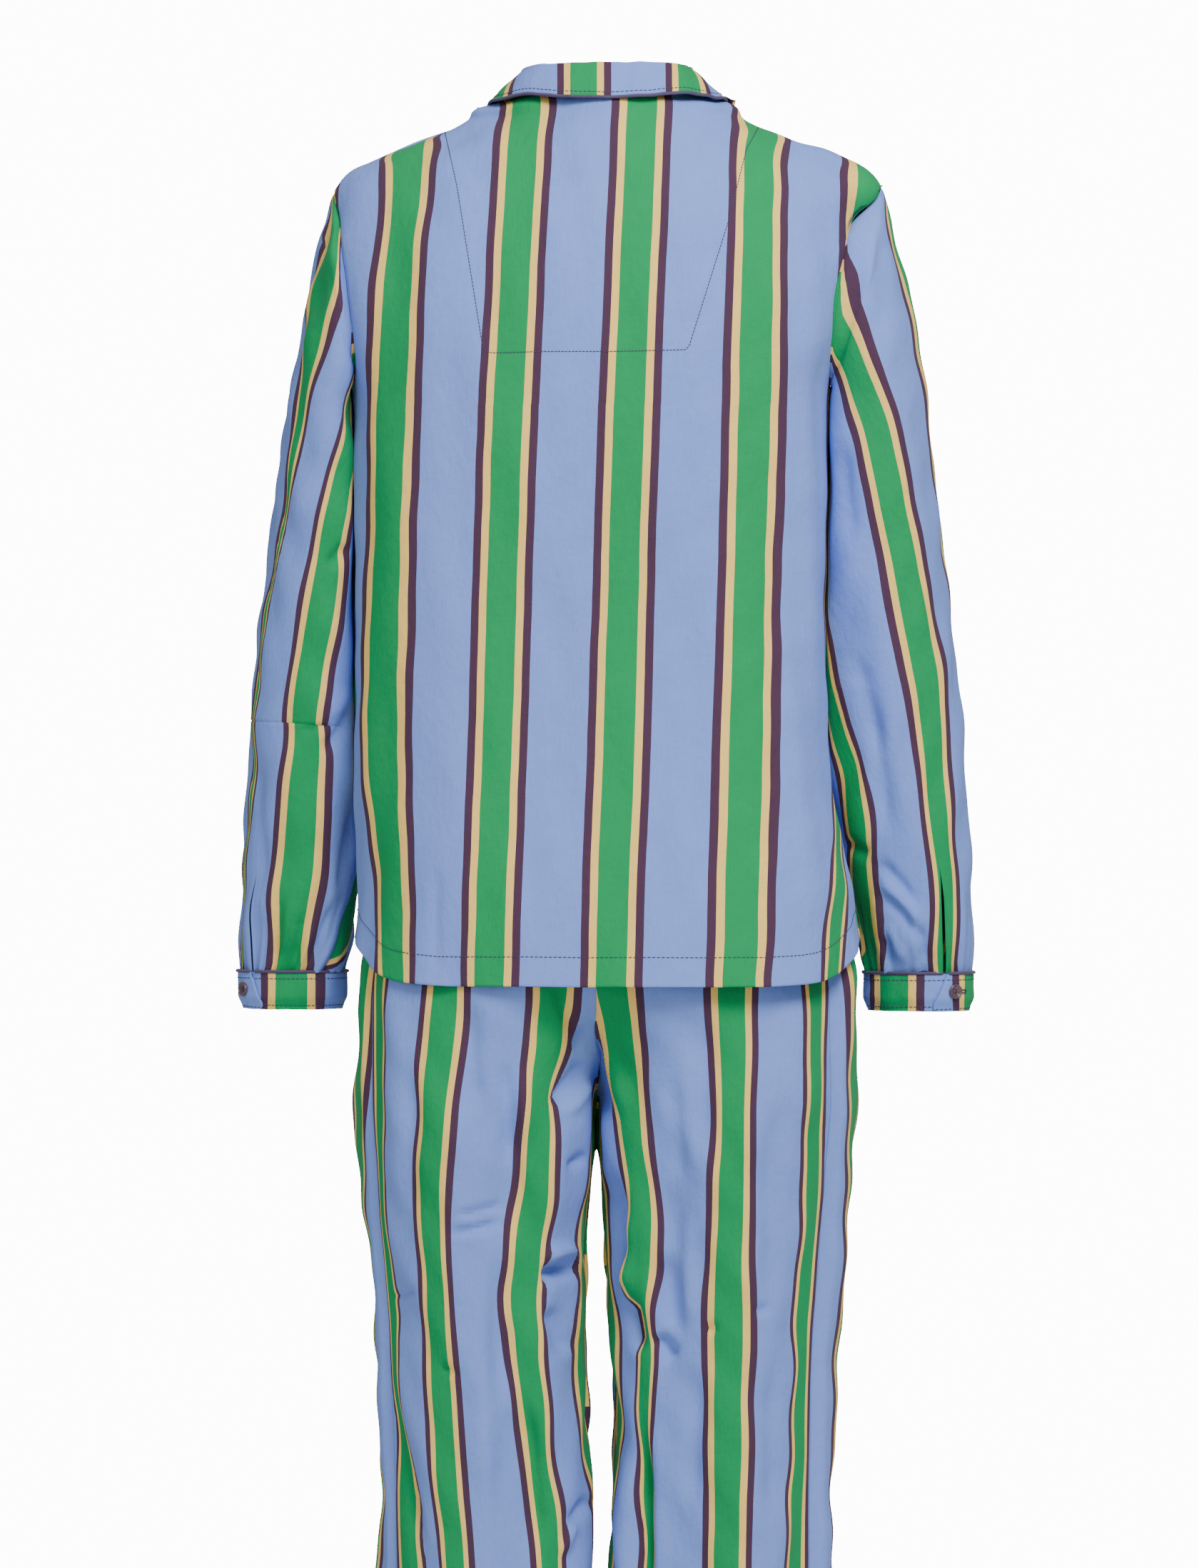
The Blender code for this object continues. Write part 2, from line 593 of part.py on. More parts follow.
def sleeve(name, sign, slit, reach, tuck):
    """A tube from the armhole to the cuff, open along its slit: the left one joined at the elbow."""
    turn = sleeve_angles(slit)
    loop, loop_normal = armhole_loop(turn, sign)
    rings = sleeve_rings(turn, sign, reach, tuck)
    start = loop + SEAM_GAP * 1.5 * unit(rings[0] - loop)
    grid = np.concatenate([[start, start + (rings[0] - start) * CAP_ROW], rings])
    outward = -sign * grid_normals(grid, True)
    upper = ((1 + np.cos(turn)) / 2)[:, None]
    outward[0] = lean_clear(upper * loop_normal + (1 - upper) * outward[0], start, loop_normal)
    thickness = np.full((len(grid), 1, 1), WALL)
    thickness[:2] = SEAM_WALL
    slit_column = int(np.argmin(np.abs(np.degrees(turn) - slit + SLIT_HALF_ANGLE)))
    inner = grid - thickness * outward
    joint = CROSS_SEAM_RING + 2
    stretches = [(name, 0, len(grid))]
    if sign > 0:
        stretches = [(name, 0, joint + 1), (name + "_forearm", joint, len(grid))]
    for node, first, last in stretches:
        walls = [wall[first:last].copy() for wall in (grid, inner)]
        for wall in walls if sign > 0 else ():
            edge, way = (-1, 1.0) if first == 0 else (0, -1.0)
            wall[edge, :, 2] += way * SEAM_GAP / 2
        rows = [row for row in range(len(walls[0]) - 1) if walls[0][row, 0, 2] < SLIT_TOP]
        slit_cells = {(row, slit_column) for row in rows}
        add_wall(node, *walls, closed=True, open_cells=slit_cells)


def cuff_outline(turn, z, lift):
    """Points on the cuff's outside for the left sleeve, lifted out a little."""
    low = np.clip((CUFF_TOP - z) / CUFF_HEIGHT, 0, 1)
    tuck = CUFF_BOTTOM_TUCK * ease((low - 0.62) / 0.38)
    x = CUFF_MIDDLE[0] + (CUFF_HALF_WIDTH - tuck + lift) * np.cos(turn)
    y = CUFF_MIDDLE[1] + (CUFF_HALF_DEPTH - tuck + lift) * np.sin(turn)
    return stack(x, y, z)


def cuff(name, sign, edge_top, edge_low, button, reach):
    """A strip that laps over itself, each turn further out, with its piping and its button."""
    start = edge_top - CUFF_OVERLAP

    def strip(degrees, z):
        lift = (degrees - start) / 360 * (WALL + CUFF_LAYER)
        points = cuff_outline(np.radians(degrees), z, lift)
        points[..., 0] = sign * (points[..., 0] + reach)
        return turned(points, SHIRT_TURN)

    share, level = np.meshgrid(np.linspace(0, 1, 27), np.linspace(0, 1, 4))
    end = 360 + edge_top + (edge_low - edge_top) * level
    degrees = start + (end - start) * share
    grid = strip(degrees, CUFF_TOP - CUFF_HEIGHT * level)
    outward = -sign * grid_normals(grid, False)
    add_wall(name, grid, grid - WALL * outward)

    path = grid[0] + outward[0] * (PIPING_RADIUS + PIPING_CLEAR)
    path[:, 2] -= CUFF_PIPING_DROP
    outer_layer = degrees[0] > edge_top + 5
    add_tube(name + "_piping", path[outer_layer], PIPING_RADIUS, "piping")

    height = np.array(CUFF_TOP - CUFF_HEIGHT * CUFF_BUTTON_AT)
    spot, beside = (strip(np.array(360 + button + step), height) for step in (0.0, 2.0))
    along = beside - spot
    add_button(name + "_button", spot, sign * unit(np.array([along[1], -along[0], 0.0])))


# --- Buttons -----------------------------------------------------------------------------------
def add_button(name, place, normal):
    """A turned disc with a raised rim, its flat back just clear of the cloth."""
    radius, thick = BUTTON_RADIUS, BUTTON_THICKNESS
    outline = (
        (0.0, thick * 0.62),
        (radius * 0.68, thick * 0.62),
        (radius * 0.84, thick),
        (radius, thick * 0.62),
        (radius * 0.92, 0.0),
        (0.0, 0.0),
    )
    mesh = bpy.data.meshes.new(name)
    edges = [(k, k + 1) for k in range(len(outline) - 1)]
    mesh.from_pydata([(x, 0.0, z) for x, z in outline], edges, [])
    made = bpy.data.objects.new(name, mesh)
    bpy.data.collections[COLLECTION].objects.link(made)
    screw = made.modifiers.new("turn", "SCREW")
    screw.steps = screw.render_steps = 14
    screw.use_merge_vertices = True
    screw.merge_threshold = 0.00005
    mesh.materials.append(finish("button"))
    aim = np.asarray(normal, float)
    side = unit(np.cross((0.0, 0.0, 1.0), aim))
    up = np.cross(aim, side)
    clear = np.asarray(place) + aim * BUTTON_CLEAR
    made.matrix_world = Matrix.Translation(clear) @ Matrix((side, up, aim)).transposed().to_4x4()


# --- Collar ------------------------------------------------------------------------------------
def collar_ring(at):
    """Fold and edge points of the collar for angles round the neck."""
    at = np.asarray(at, float)
    mirrored = at > 90
    key = np.where(mirrored, 180 - at, at)
    sign = np.where(mirrored, -1.0, 1.0)
    _, fold_x, fold_y, fold_z, edge_x, edge_y, edge_z = (
        column(COLLAR_RINGS, k, key) for k in range(7)
    )
    angle = body_angle(np.maximum(edge_x, 0.001), edge_z, False)
    on_body = body(angle, edge_z)[..., 1] + SHIRT_TURN * edge_x - COLLAR_LIFT
    free = ease((key - COLLAR_SETTLE) / COLLAR_SETTLE_SOFT)
    edge_y = (1 - free) * on_body + free * edge_y
    fold = stack(sign * fold_x, fold_y, fold_z)
    edge = stack(sign * edge_x, edge_y, edge_z)
    return turned(fold, SHIRT_TURN), turned(edge, SHIRT_TURN)


def collar():
    at = np.linspace(COLLAR_END, 180 - COLLAR_END, 27)
    fold, edge = collar_ring(at)
    radians = np.radians(at)
    key = np.where(at > 90, np.pi - radians, radians)
    angle, z = neckline(key)
    around = np.where(at > 90, np.pi - angle, angle)
    base = body(around, z)
    base[..., 2] += SEAM_GAP
    outward = unit((edge - fold) * (1.0, 1.0, 0.0))
    up = np.array([0.0, 0.0, 1.0])
    rows = [base, (base + fold - FOLD_RADIUS * outward) / 2]
    for degrees in (180, 135, 90, 45, 0):
        a = math.radians(degrees)
        rows.append(fold + FOLD_RADIUS * (math.cos(a) * outward + (math.sin(a) - 1) * up))
    start = rows[-1]
    for share in (0.33, 0.67, 1.0):
        rows.append(start + (edge - start) * share)
    grid = np.array(rows)
    normal = -grid_normals(grid, False)
    add_wall("collar", grid, grid - COLLAR_WALL * normal)
    down = unit(grid[-1] - grid[-2])
    path = grid[-1] + down * (PIPING_RADIUS + PIPING_CLEAR) - normal[-1] * COLLAR_WALL / 3
    add_tube("collar_piping", path, PIPING_RADIUS, "piping")


# --- Trousers ----------------------------------------------------------------------------------
def hips(angle, z):
    c, s = np.cos(angle), np.sin(angle)
    width = np.where(c > 0, column(HIPS, 1, z) - TROUSER_CENTRE, column(HIPS, 2, z) + TROUSER_CENTRE)
    square = column(HIPS, 5, z)
    x = TROUSER_CENTRE + width * power(c, 2 / square)
    y = np.where(s > 0, column(HIPS, 3, z), column(HIPS, 4, z)) * power(s, 2 / square)
    return stack(x, y, z)


def leg(turn, z, sign):
    """The outside of a leg: turn 0 is its outer side, 90 degrees the back."""
    first = 1 if sign > 0 else 3
    outer, inner = column(LEGS, first, z), column(LEGS, first + 1, z)
    c, s = np.cos(turn), np.sin(turn)
    depth = np.where(s > 0, column(LEGS, 5, z), column(LEGS, 6, z))
    relief = 0.0
    for which, at, top, bottom, half, height, lean in LEG_FOLDS:
        if which == sign:
            off = (np.degrees(turn) - at - lean * (top - z)) / half
            relief = relief + height * bump(off) * between(z, bottom, top, LEG_FOLD_SOFT)
    x = (outer + inner) / 2 + (outer - inner) / 2 * power(c, 2 / LEG_SQUARE)
    y = depth * power(s, 2 / LEG_SQUARE) + relief * power(s, 1)
    return stack(x, y, z)


def trouser_surface(sign, hip_seam, leg_seam):
    """A function of (q, z): q is 0 at the side seam, 1 at the back middle, -1 at the front."""
    def surface(q, z):
        behind = np.sign(q)
        hip = np.radians(hip_seam + q * (90 - behind * hip_seam))
        turn = np.radians(leg_seam + q * (180 - behind * leg_seam))
        around = hip if sign > 0 else np.pi - hip
        share = ease((SEAT_TOP - z) / (SEAT_TOP - CROTCH))[..., None]
        points = (1 - share) * hips(around, z) + share * leg(turn, z, sign)
        return turned(points, TROUSER_TURN)

    return surface


def trouser_panels():
    top = WAIST_TOP - WAIST_HEIGHT - SEAM_GAP / 2
    stretches = (
        ("_leg", np.linspace(LEG_HEM, THIGH_LOW, 8)),
        ("", np.concatenate([
            np.linspace(THIGH_LOW, CROTCH, 6, endpoint=False),
            np.linspace(CROTCH, SEAT_TOP, 7, endpoint=False),
            np.linspace(SEAT_TOP, top, 5),
        ])),
    )
    halves = (
        ("back", np.linspace(0, 1, TROUSER_BACK_COLUMNS + 1)),
        ("front", np.linspace(-1, 0, TROUSER_FRONT_COLUMNS + 1)),
    )
    for name, hip_seam, leg_seam in TROUSER_SIDES:
        sign = 1.0 if name == "left" else -1.0
        surface = trouser_surface(sign, hip_seam, leg_seam)
        for half, columns in halves:
            for stretch, z in stretches:
                q, rows = np.meshgrid(columns, z)
                add_panel(f"trouser_{name}_{half}{stretch}", surface, q, rows, facing=sign)


def waistband():
    turn = np.linspace(0, 2 * np.pi, WAISTBAND_COLUMNS, endpoint=False)
    levels = np.linspace(WAIST_TOP - WAIST_HEIGHT, WAIST_TOP, 3)
    grid = turned(hips(*np.meshgrid(turn, levels)), TROUSER_TURN)
    add_wall("waistband", grid, grid - WAISTBAND_WALL * grid_normals(grid, True), closed=True)


def main():
    for old in list(bpy.data.objects):
        bpy.data.objects.remove(old)
    parts = bpy.data.collections.new(COLLECTION)
    bpy.context.scene.collection.children.link(parts)
    back_panel()
    front_panel("shirt_front_right", -1.0, PLACKET_HALF, 0.0)
    front_panel("shirt_front_left", 1.0, -PLACKET_HALF, PLACKET_STEP)
    for index in range(FRONT_BUTTONS):
        front_button(f"front_button_{index + 1}", FRONT_BUTTON_TOP - FRONT_BUTTON_STEP * index)
    collar()
    for name, sign, slit, edge_top, edge_low, button, reach, tuck in SLEEVE_SIDES:
        sleeve(f"sleeve_{name}", sign, slit, reach, tuck)
        cuff(f"cuff_{name}", sign, edge_top, edge_low, button, reach)
    trouser_panels()
    waistband()


main()
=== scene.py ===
"""The looks of the pyjama set: striped cotton, piping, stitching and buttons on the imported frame.

Metres, in the frame's axes: the garment's back faces +Y, where the camera is, and the wearer's left
is +X. Places that are read as the camera sees them are on the picture plane, which is Y = 0.
Grids of points have rows that run up and columns that run counter-clockwise seen from above.
Constants without a unit are in metres.
"""
import json
import math

import bmesh
import bpy
import numpy as np
from mathutils import Matrix, Vector

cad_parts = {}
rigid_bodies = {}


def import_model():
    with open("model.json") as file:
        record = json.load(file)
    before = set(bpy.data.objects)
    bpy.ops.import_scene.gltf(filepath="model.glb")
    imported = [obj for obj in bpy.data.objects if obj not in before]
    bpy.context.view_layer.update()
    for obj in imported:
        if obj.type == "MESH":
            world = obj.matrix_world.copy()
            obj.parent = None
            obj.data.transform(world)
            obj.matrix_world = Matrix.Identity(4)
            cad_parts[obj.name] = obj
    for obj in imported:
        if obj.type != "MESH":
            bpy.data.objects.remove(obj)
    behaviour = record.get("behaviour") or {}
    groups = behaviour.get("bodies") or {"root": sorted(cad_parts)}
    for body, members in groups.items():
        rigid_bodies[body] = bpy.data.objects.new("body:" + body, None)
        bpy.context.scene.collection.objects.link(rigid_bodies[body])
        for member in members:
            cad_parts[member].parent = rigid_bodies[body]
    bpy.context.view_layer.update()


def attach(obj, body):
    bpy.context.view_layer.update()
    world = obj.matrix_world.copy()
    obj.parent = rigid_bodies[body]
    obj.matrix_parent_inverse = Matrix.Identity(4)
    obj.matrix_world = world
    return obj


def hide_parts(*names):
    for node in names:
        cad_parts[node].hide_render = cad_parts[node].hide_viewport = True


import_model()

# --- Cloth, seams and stripes -----------------------------------------
TENTHS = 10000  # to a metre: the tables of stripes and creases are in tenths of a millimetre
HEM_DEPTH = 0.0215
HEM_GAP = 0.0011  # from the cloth to what is folded in behind it
SEAM_TUCK = 0.0060  # how far the seams' edges turn in
TUCK_SLANT = 0.7  # inwards for each step along, where the end of a tube is tucked in
SEAM_VALLEY, SEAM_REACH = 0.0007, 0.006  # how deep the cloth dips at a seam, and from where
WALL = 0.0018  # of the solids' cloth
SEAM_GAP = 0.0004  # between the solids of two pieces
WEAVE = 0.00045  # one repeat
PIPING_RADIUS = 0.0013
PIPING_RIB = 0.0009
CREASE_FADE = 0.3  # the share of its length over which a crease fades out at each end
RIPPLES, RIPPLES_TALL = 16, 2.5  # waves in uneven cloth, and how much longer they are upwards
UNEVEN = {
    # size, height and seed of the ripples
    "back": (0.055, 0.0010, 3), "front_right": (0.055, 0.0006, 4),
    "front_left": (0.055, 0.0006, 6), "sleeve_right": (0.045, 0.0012, 10),
    "sleeve_left": (0.045, 0.0012, 12), "cuff_right": (0.022, 0.0003, 20),
    "cuff_left": (0.022, 0.0003, 22), "collar": (0.030, 0.0004, 31),
    "trouser_back": (0.060, 0.0017, 41), "trouser_front": (0.060, 0.0017, 47),
}
LINE_END = 0.012  # how far beyond its ends a stripe's line is still looked for
WELD = 1e-5  # points nearer to each other than this become one
SHIRT_TURN, TROUSER_TURN = 0.09, 0.05  # Y falls by so much for each step in X

STRIPE_REPEAT = 0.0955
GREEN_HALF = 0.0116
CREAM_WIDTH = 0.0063
PLUM_WIDTH = 0.0060
PLUM_MIDDLE = GREEN_HALF + CREAM_WIDTH + PLUM_WIDTH / 2
STRIPE_HALF = GREEN_HALF + CREAM_WIDTH + PLUM_WIDTH

# --- Camera -----------------------------------------------------------
EYE_X, EYE_Z = 0.0054, -0.5041
EYE_DISTANCE = 4.943
LENS = 150.0

# --- Studio -----------------------------------------------------------
FLOOR, FLOOR_RADIUS = -1.530, 1.9
WORLD_LIGHT, BACKDROP_LIGHT = 0.42, 17.0  # the world's on the set, and what the camera sees of it
LAMPS = (
    # name, place, aimed at, size, watts
    ("key", (-0.8, 2.3, 1.4), (0.0, 0.0, -0.35), 1.3, 104.0),
    ("fill", (1.9, 3.0, 0.3), (0.0, 0.0, -0.60), 1.8, 22.0),
)

# --- Shirt ------------------------------------------------------------
SHOULDER_TIP = -0.052
ARMPIT = -0.205
ARMHOLE_INSET = 0.018  # how far the armhole cuts in from the side at its middle
NECK_HALF = 0.0745
NECK_SIDE = 0.013
NECK_BACK_RISE = 0.004
NECK_FRONT_DROP = 0.083
HEM_LOW = -0.6532
HEM_LIFT = 0.0332
HEM_CURVE = 8.8  # how sharply the hem curves up to the side seams
SIDE_STEPS, ARMHOLE_STEPS, SHOULDER_STEPS = 10, 9, 6  # of the solids' rows
SHIRT_ROW_COUNT, BACK_COLUMNS, FRONT_COLUMNS = 230, 140, 72  # of the visible cloth
EDGE_LEVEL = -0.262  # where the armpit's row meets the front edge
CHEST = -0.300  # the height at which the placket's width is measured
NECK_SWING, NECK_SWING_TOP = -0.160, -0.090  # the front edges run in to the neck's middle here
PLACKET_HALF = 0.013
PLACKET_STEP = 0.0045  # how far the under front lies behind the one that laps over it
PLACKET_REACH, PLACKET_SOFT = 0.034, 0.016  # from the middle to where that step ends
FRONT_BUTTONS = 5
FRONT_BUTTON_TOP = -0.088
FRONT_BUTTON_STEP = 0.112
SHIRT_LINE = 0.062  # from the middle to the fronts' green stripe
FACING_WIDTH = 0.030
FACING_STITCHES = (0.0030, 0.0240)  # from the fronts' edges

# Rings of the shirt body. left and right are the half widths at +X and -X, square is the
# superellipse exponent: under 2 for the lens across the shoulders, over 2 for the flat back.
BODY = (
    # z,      left,   right,  back,  front, square
    (-0.662,  0.2010, 0.2010, 0.134, 0.124, 2.40),
    (-0.640,  0.1950, 0.1960, 0.131, 0.121, 2.40),
    (-0.615,  0.1890, 0.1900, 0.128, 0.118, 2.45),
    (-0.5805, 0.1875, 0.1850, 0.123, 0.114, 2.50),
    (-0.548,  0.1885, 0.1770, 0.118, 0.111, 2.55),
    (-0.510,  0.1900, 0.1695, 0.112, 0.108, 2.60),
    (-0.436,  0.1910, 0.1655, 0.105, 0.105, 2.70),
    (-0.343,  0.1914, 0.1650, 0.102, 0.106, 2.75),
    (-0.267,  0.1912, 0.1665, 0.105, 0.112, 2.75),
    (-0.205,  0.1930, 0.1690, 0.107, 0.115, 2.65),
    (-0.163,  0.2050, 0.1830, 0.107, 0.113, 2.50),
    (-0.1215, 0.2140, 0.1925, 0.104, 0.106, 2.30),
    (-0.0815, 0.2110, 0.1970, 0.097, 0.093, 2.05),
    (-0.052,  0.2060, 0.2070, 0.087, 0.080, 1.75),
    (-0.0405, 0.1955, 0.1940, 0.083, 0.073, 1.65),
    (-0.0189, 0.1500, 0.1425, 0.073, 0.055, 1.55),
    (-0.0027, 0.1060, 0.1045, 0.065, 0.040, 1.60),
    (0.0081,  0.0945, 0.0930, 0.059, 0.028, 1.75),
    (0.0130,  0.0745, 0.0745, 0.055, 0.020, 1.90),
    (0.0185,  0.0640, 0.0640, 0.051, 0.014, 2.00),
)

# Sleeve rings, as the point at the outer side and the one at the inner side of each, with the
# middle and the half of its depth. Both sleeves use them, mirrored.
SLEEVE = (
    # outer_x, outer_z, inner_x, inner_z, middle, half
    (0.2105, -0.0610, 0.1672, -0.2065, -0.004, 0.061),
    (0.2170, -0.0850, 0.1660, -0.2120, -0.005, 0.062),
    (0.2235, -0.1150, 0.1650, -0.2200, -0.007, 0.062),
    (0.2315, -0.1520, 0.1640, -0.2320, -0.010, 0.061),
    (0.2385, -0.1950, 0.1610, -0.2520, -0.014, 0.060),
    (0.2450, -0.2457, 0.1580, -0.2800, -0.019, 0.059),
    (0.2508, -0.2890, 0.1560, -0.3100, -0.023, 0.058),
    (0.2566, -0.3320, 0.1550, -0.3430, -0.028, 0.056),
    (0.2643, -0.3980, 0.1550, -0.4000, -0.036, 0.055),
    (0.2702, -0.4617, 0.1580, -0.4620, -0.043, 0.053),
    (0.2732, -0.5050, 0.1640, -0.5050, -0.048, 0.052),
    (0.2756, -0.5480, 0.1740, -0.5480, -0.052, 0.050),
    (0.2770, -0.5805, 0.1840, -0.5805, -0.055, 0.048),
    (0.2780, -0.6075, 0.1895, -0.6075, -0.057, 0.046),
    (0.2780, -0.6237, 0.1918, -0.6237, -0.058, 0.043),
    (0.2776, -0.6360, 0.1945, -0.6360, -0.058, 0.038),
    (0.2768, -0.6475, 0.1975, -0.6475, -0.058, 0.033),
)
CUFF_TOP = -0.6479
CUFF_HEIGHT = 0.0285
CUFF_HALF_WIDTH = 0.0402
CUFF_HALF_DEPTH = 0.0325
CUFF_MIDDLE = (0.2372, -0.058)
CUFF_BOTTOM_TUCK = 0.0035
CUFF_OVERLAP = 42.0  # degrees
CUFF_LAYER = 0.0006  # between the cuff's two layers where it laps over itself
CUFF_BUTTON_AT = 0.47  # of the cuff's height, from its top
CAP_NARROWING = 0.75  # how sharply the sleeve's head narrows to the shoulder's ridge
CAP_RINGS = 4
SLEEVE_ROWS, SLEEVE_COLUMNS = 185, 116
SLEEVE_TUCK = 0.004  # of its lengthwise edges
SLEEVE_SQUARE, CAP_RIDGE = 0.94, 0.3  # exponents of its rings, and of how they narrow on top
TUCK_END, TUCK_SOFT, REACH_SOFT = -0.60, 0.15, 0.2  # where the sides' tuck and reach take hold
ARMHOLE_INSIDE = 0.0007  # how far inside the armhole's edge a sleeve starts
ARMHOLE_RING = 0.3  # a ring on the way from there to the table's first
ARMHOLE_PLAIN = 0.02  # from the armhole to where the small folds are full
ARMHOLE_VALLEY = 0.0009
BODY_CLEARANCE, BODY_CLEARANCE_SOFT = 0.0005, 0.004  # between sleeve and shirt body
SLIT_TOP = -0.565
SLIT_HALF = {"left": 0.0007, "right": 0.0011}  # of the slits' width at the cuff
SLIT_SOFT = 0.03  # from their top to where they are that wide
GATHERS = ((1.0, 11, 0.0), (0.5, 19, 1.0), (0.3, 31, 0.0))  # height, waves round, and phase
GATHER_HEIGHT, GATHER_SINK = 0.0013, 0.0008
GATHER_TOP, GATHER_SOFT = -0.560, 0.08
# Angles round the sleeve from its outer side towards the back, in degrees. reach is how much
# further out than the table the arm hangs, tuck how much further out its inner side starts.
SLEEVE_SIDES = (
    # name,   sign, slit, edge_top, edge_low, button, reach,  tuck
    ("left",   1.0, 39.0, 41.0,     57.0,     31.0,   0.0035, 0.021),
    ("right", -1.0, 62.0, 60.0,     78.0,     52.0,   0.0000, 0.000),
)

# --- Collar -----------------------------------------------------------
COLLAR_END = -84.0  # degrees round the neck, where each front end is
COLLAR_LIFT = 0.0050  # of the collar's edge over the fronts
COLLAR_SETTLE, COLLAR_SETTLE_SOFT = -20.0, 14.0  # ahead of this angle the edge lies on the fronts
FOLD_RADIUS = 0.0021
COLLAR_RINGS = (
    # at,   fold_x, fold_y, fold_z, edge_x, edge_y, edge_z
    (-84.0, 0.010, -0.094, -0.0600, 0.050, -0.107, -0.1120),
    (-70.0, 0.026, -0.088, -0.0530, 0.061, -0.096, -0.0940),
    (-50.0, 0.045, -0.068, -0.0350, 0.073, -0.076, -0.0640),
    (-30.0, 0.058, -0.041, -0.0080, 0.083, -0.046, -0.0300),
    (-12.0, 0.0625, -0.016, 0.0210, 0.088, -0.021, 0.0000),
    (5.0,   0.0635, 0.006, 0.0335, 0.0888, 0.006, 0.0122),
    (25.0,  0.0600, 0.026, 0.0360, 0.0800, 0.028, 0.0130),
    (45.0,  0.0490, 0.040, 0.0371, 0.0600, 0.047, 0.0150),
    (65.0,  0.0290, 0.048, 0.0367, 0.0340, 0.059, 0.0118),
    (90.0,  0.0000, 0.051, 0.0366, 0.0000, 0.064, 0.0103),
)

# --- Trousers ---------------------------------------------------------
WAIST_TOP = -0.437
WAIST_HEIGHT = 0.036
CROTCH = -0.770
SEAT_TOP = -0.630  # where the seat starts to curve in to the crotch
LEG_HEM = -1.501
LEG_HEM_DEPTH, LEG_HEM_STITCHES = 0.024, 0.0235
LEG_ROWS, LEG_COLUMNS = 300, (88, 96)  # of the visible cloth, back and front
WAIST_ROWS, WAIST_COLUMNS = 22, 360
WAIST_INNER, WAIST_GAP = 0.034, 0.0014  # the inner layer's height, and how far in it is
WAIST_GATHERS, WAIST_GATHER_HEIGHT, WAIST_GATHER_SINK = 58, 0.0007, 0.0008
TROUSER_CENTRE = 0.0078
HIPS = (
    # z,      left,   right,  back,  front, square
    (-0.437,  0.1480, 0.1400, 0.092, 0.092, 2.30),
    (-0.480,  0.1600, 0.1500, 0.098, 0.097, 2.40),
    (-0.530,  0.1740, 0.1600, 0.104, 0.101, 2.50),
    (-0.580,  0.1790, 0.1740, 0.111, 0.106, 2.50),
    (-0.620,  0.1810, 0.1825, 0.117, 0.110, 2.50),
    (-0.640,  0.1860, 0.1870, 0.119, 0.112, 2.50),
    (-0.660,  0.1888, 0.1895, 0.121, 0.113, 2.50),
    (-0.700,  0.1900, 0.1905, 0.122, 0.114, 2.50),
    (-0.753,  0.1900, 0.1900, 0.120, 0.113, 2.50),
    (-0.800,  0.1870, 0.1860, 0.118, 0.111, 2.50),
)
LEGS = (
    # z,      left_out, left_in, right_out, right_in, back,  front
    (-0.620,  0.1810,   0.0080,  -0.1825,   0.0076,   0.115, 0.108),
    (-0.753,  0.1900,   0.0080,  -0.1900,   0.0074,   0.106, 0.101),
    (-0.7857, 0.1874,   0.0084,  -0.1865,   0.0070,   0.102, 0.098),
    (-0.8073, 0.1858,   0.0096,  -0.1850,   0.0062,   0.099, 0.096),
    (-0.829,  0.1841,   0.0125,  -0.1824,   0.0048,   0.096, 0.094),
    (-0.856,  0.1811,   0.0145,  -0.1805,   0.0027,   0.093, 0.092),
    (-0.883,  0.1787,   0.0151,  -0.1777,   0.0005,   0.090, 0.089),
    (-0.910,  0.1766,   0.0146,  -0.1752,   -0.0011,  0.088, 0.087),
    (-0.937,  0.1755,   0.0146,  -0.1735,   -0.0027,  0.086, 0.085),
    (-0.991,  0.1733,   0.0138,  -0.1723,   -0.0052,  0.083, 0.082),
    (-1.045,  0.1719,   0.0112,  -0.1715,   -0.0047,  0.081, 0.080),
    (-1.094,  0.1717,   0.0092,  -0.1721,   -0.0030,  0.080, 0.079),
    (-1.300,  0.1722,   0.0085,  -0.1724,   -0.0025,  0.078, 0.078),
    (-1.501,  0.1730,   0.0080,  -0.1730,   -0.0020,  0.078, 0.078),
)
LEG_SQUARE = 2.25
# Side seams sit behind the widest line, so some of each front panel shows from behind.
TROUSER_SIDES = (
    # name,   hip_seam, leg_seam, in degrees from the side towards the back
    ("left",  23.0,     34.0),
    ("right", 31.0,     42.0),
)

# --- Large folds, as soft ridges (+) and troughs (-) ------------------
BODY_FOLD_SOFT, LEG_FOLD_SOFT = 0.05, 0.08  # over which they fade out at each end
BODY_FOLDS = (
    # x,     top,    bottom, half_width, height, lean
    (0.126,  -0.50,  -0.70,  0.012,      0.0022, 0.00),
    (0.150,  -0.12,  -0.60,  0.030,      0.0030, 0.02),
    (-0.130, -0.20,  -0.66,  0.032,      -0.0030, 0.01),
    (-0.100, -0.30,  -0.72,  0.028,      0.0030, 0.02),
    (0.040,  -0.34,  -0.72,  0.040,      -0.0028, -0.01),
)
LEG_FOLDS = (
    # leg, at (degrees), top, bottom, half_width (degrees), height, lean (degrees a metre)
    (1, 70.0, -0.70, -1.20, 16.0, 0.0060, 30.0),
    (1, 105.0, -0.70, -1.30, 14.0, -0.0065, 10.0),
    (1, 135.0, -0.74, -1.05, 12.0, 0.0060, -50.0),
    (1, 125.0, -0.72, -0.84, 12.0, 0.0060, 90.0),
    (-1, 80.0, -0.66, -1.52, 15.0, 0.0055, 0.0),
    (-1, 112.0, -0.72, -1.30, 13.0, -0.0065, 12.0),
    (-1, 140.0, -0.74, -1.10, 12.0, 0.0065, 30.0),
    (1, -80.0, -0.72, -1.52, 16.0, 0.0055, 5.0),
    (1, -120.0, -0.74, -1.30, 14.0, -0.0055, 10.0),
    (-1, -75.0, -0.72, -1.52, 16.0, 0.0055, -5.0),
    (-1, -115.0, -0.74, -1.25, 14.0, -0.0055, -10.0),
)

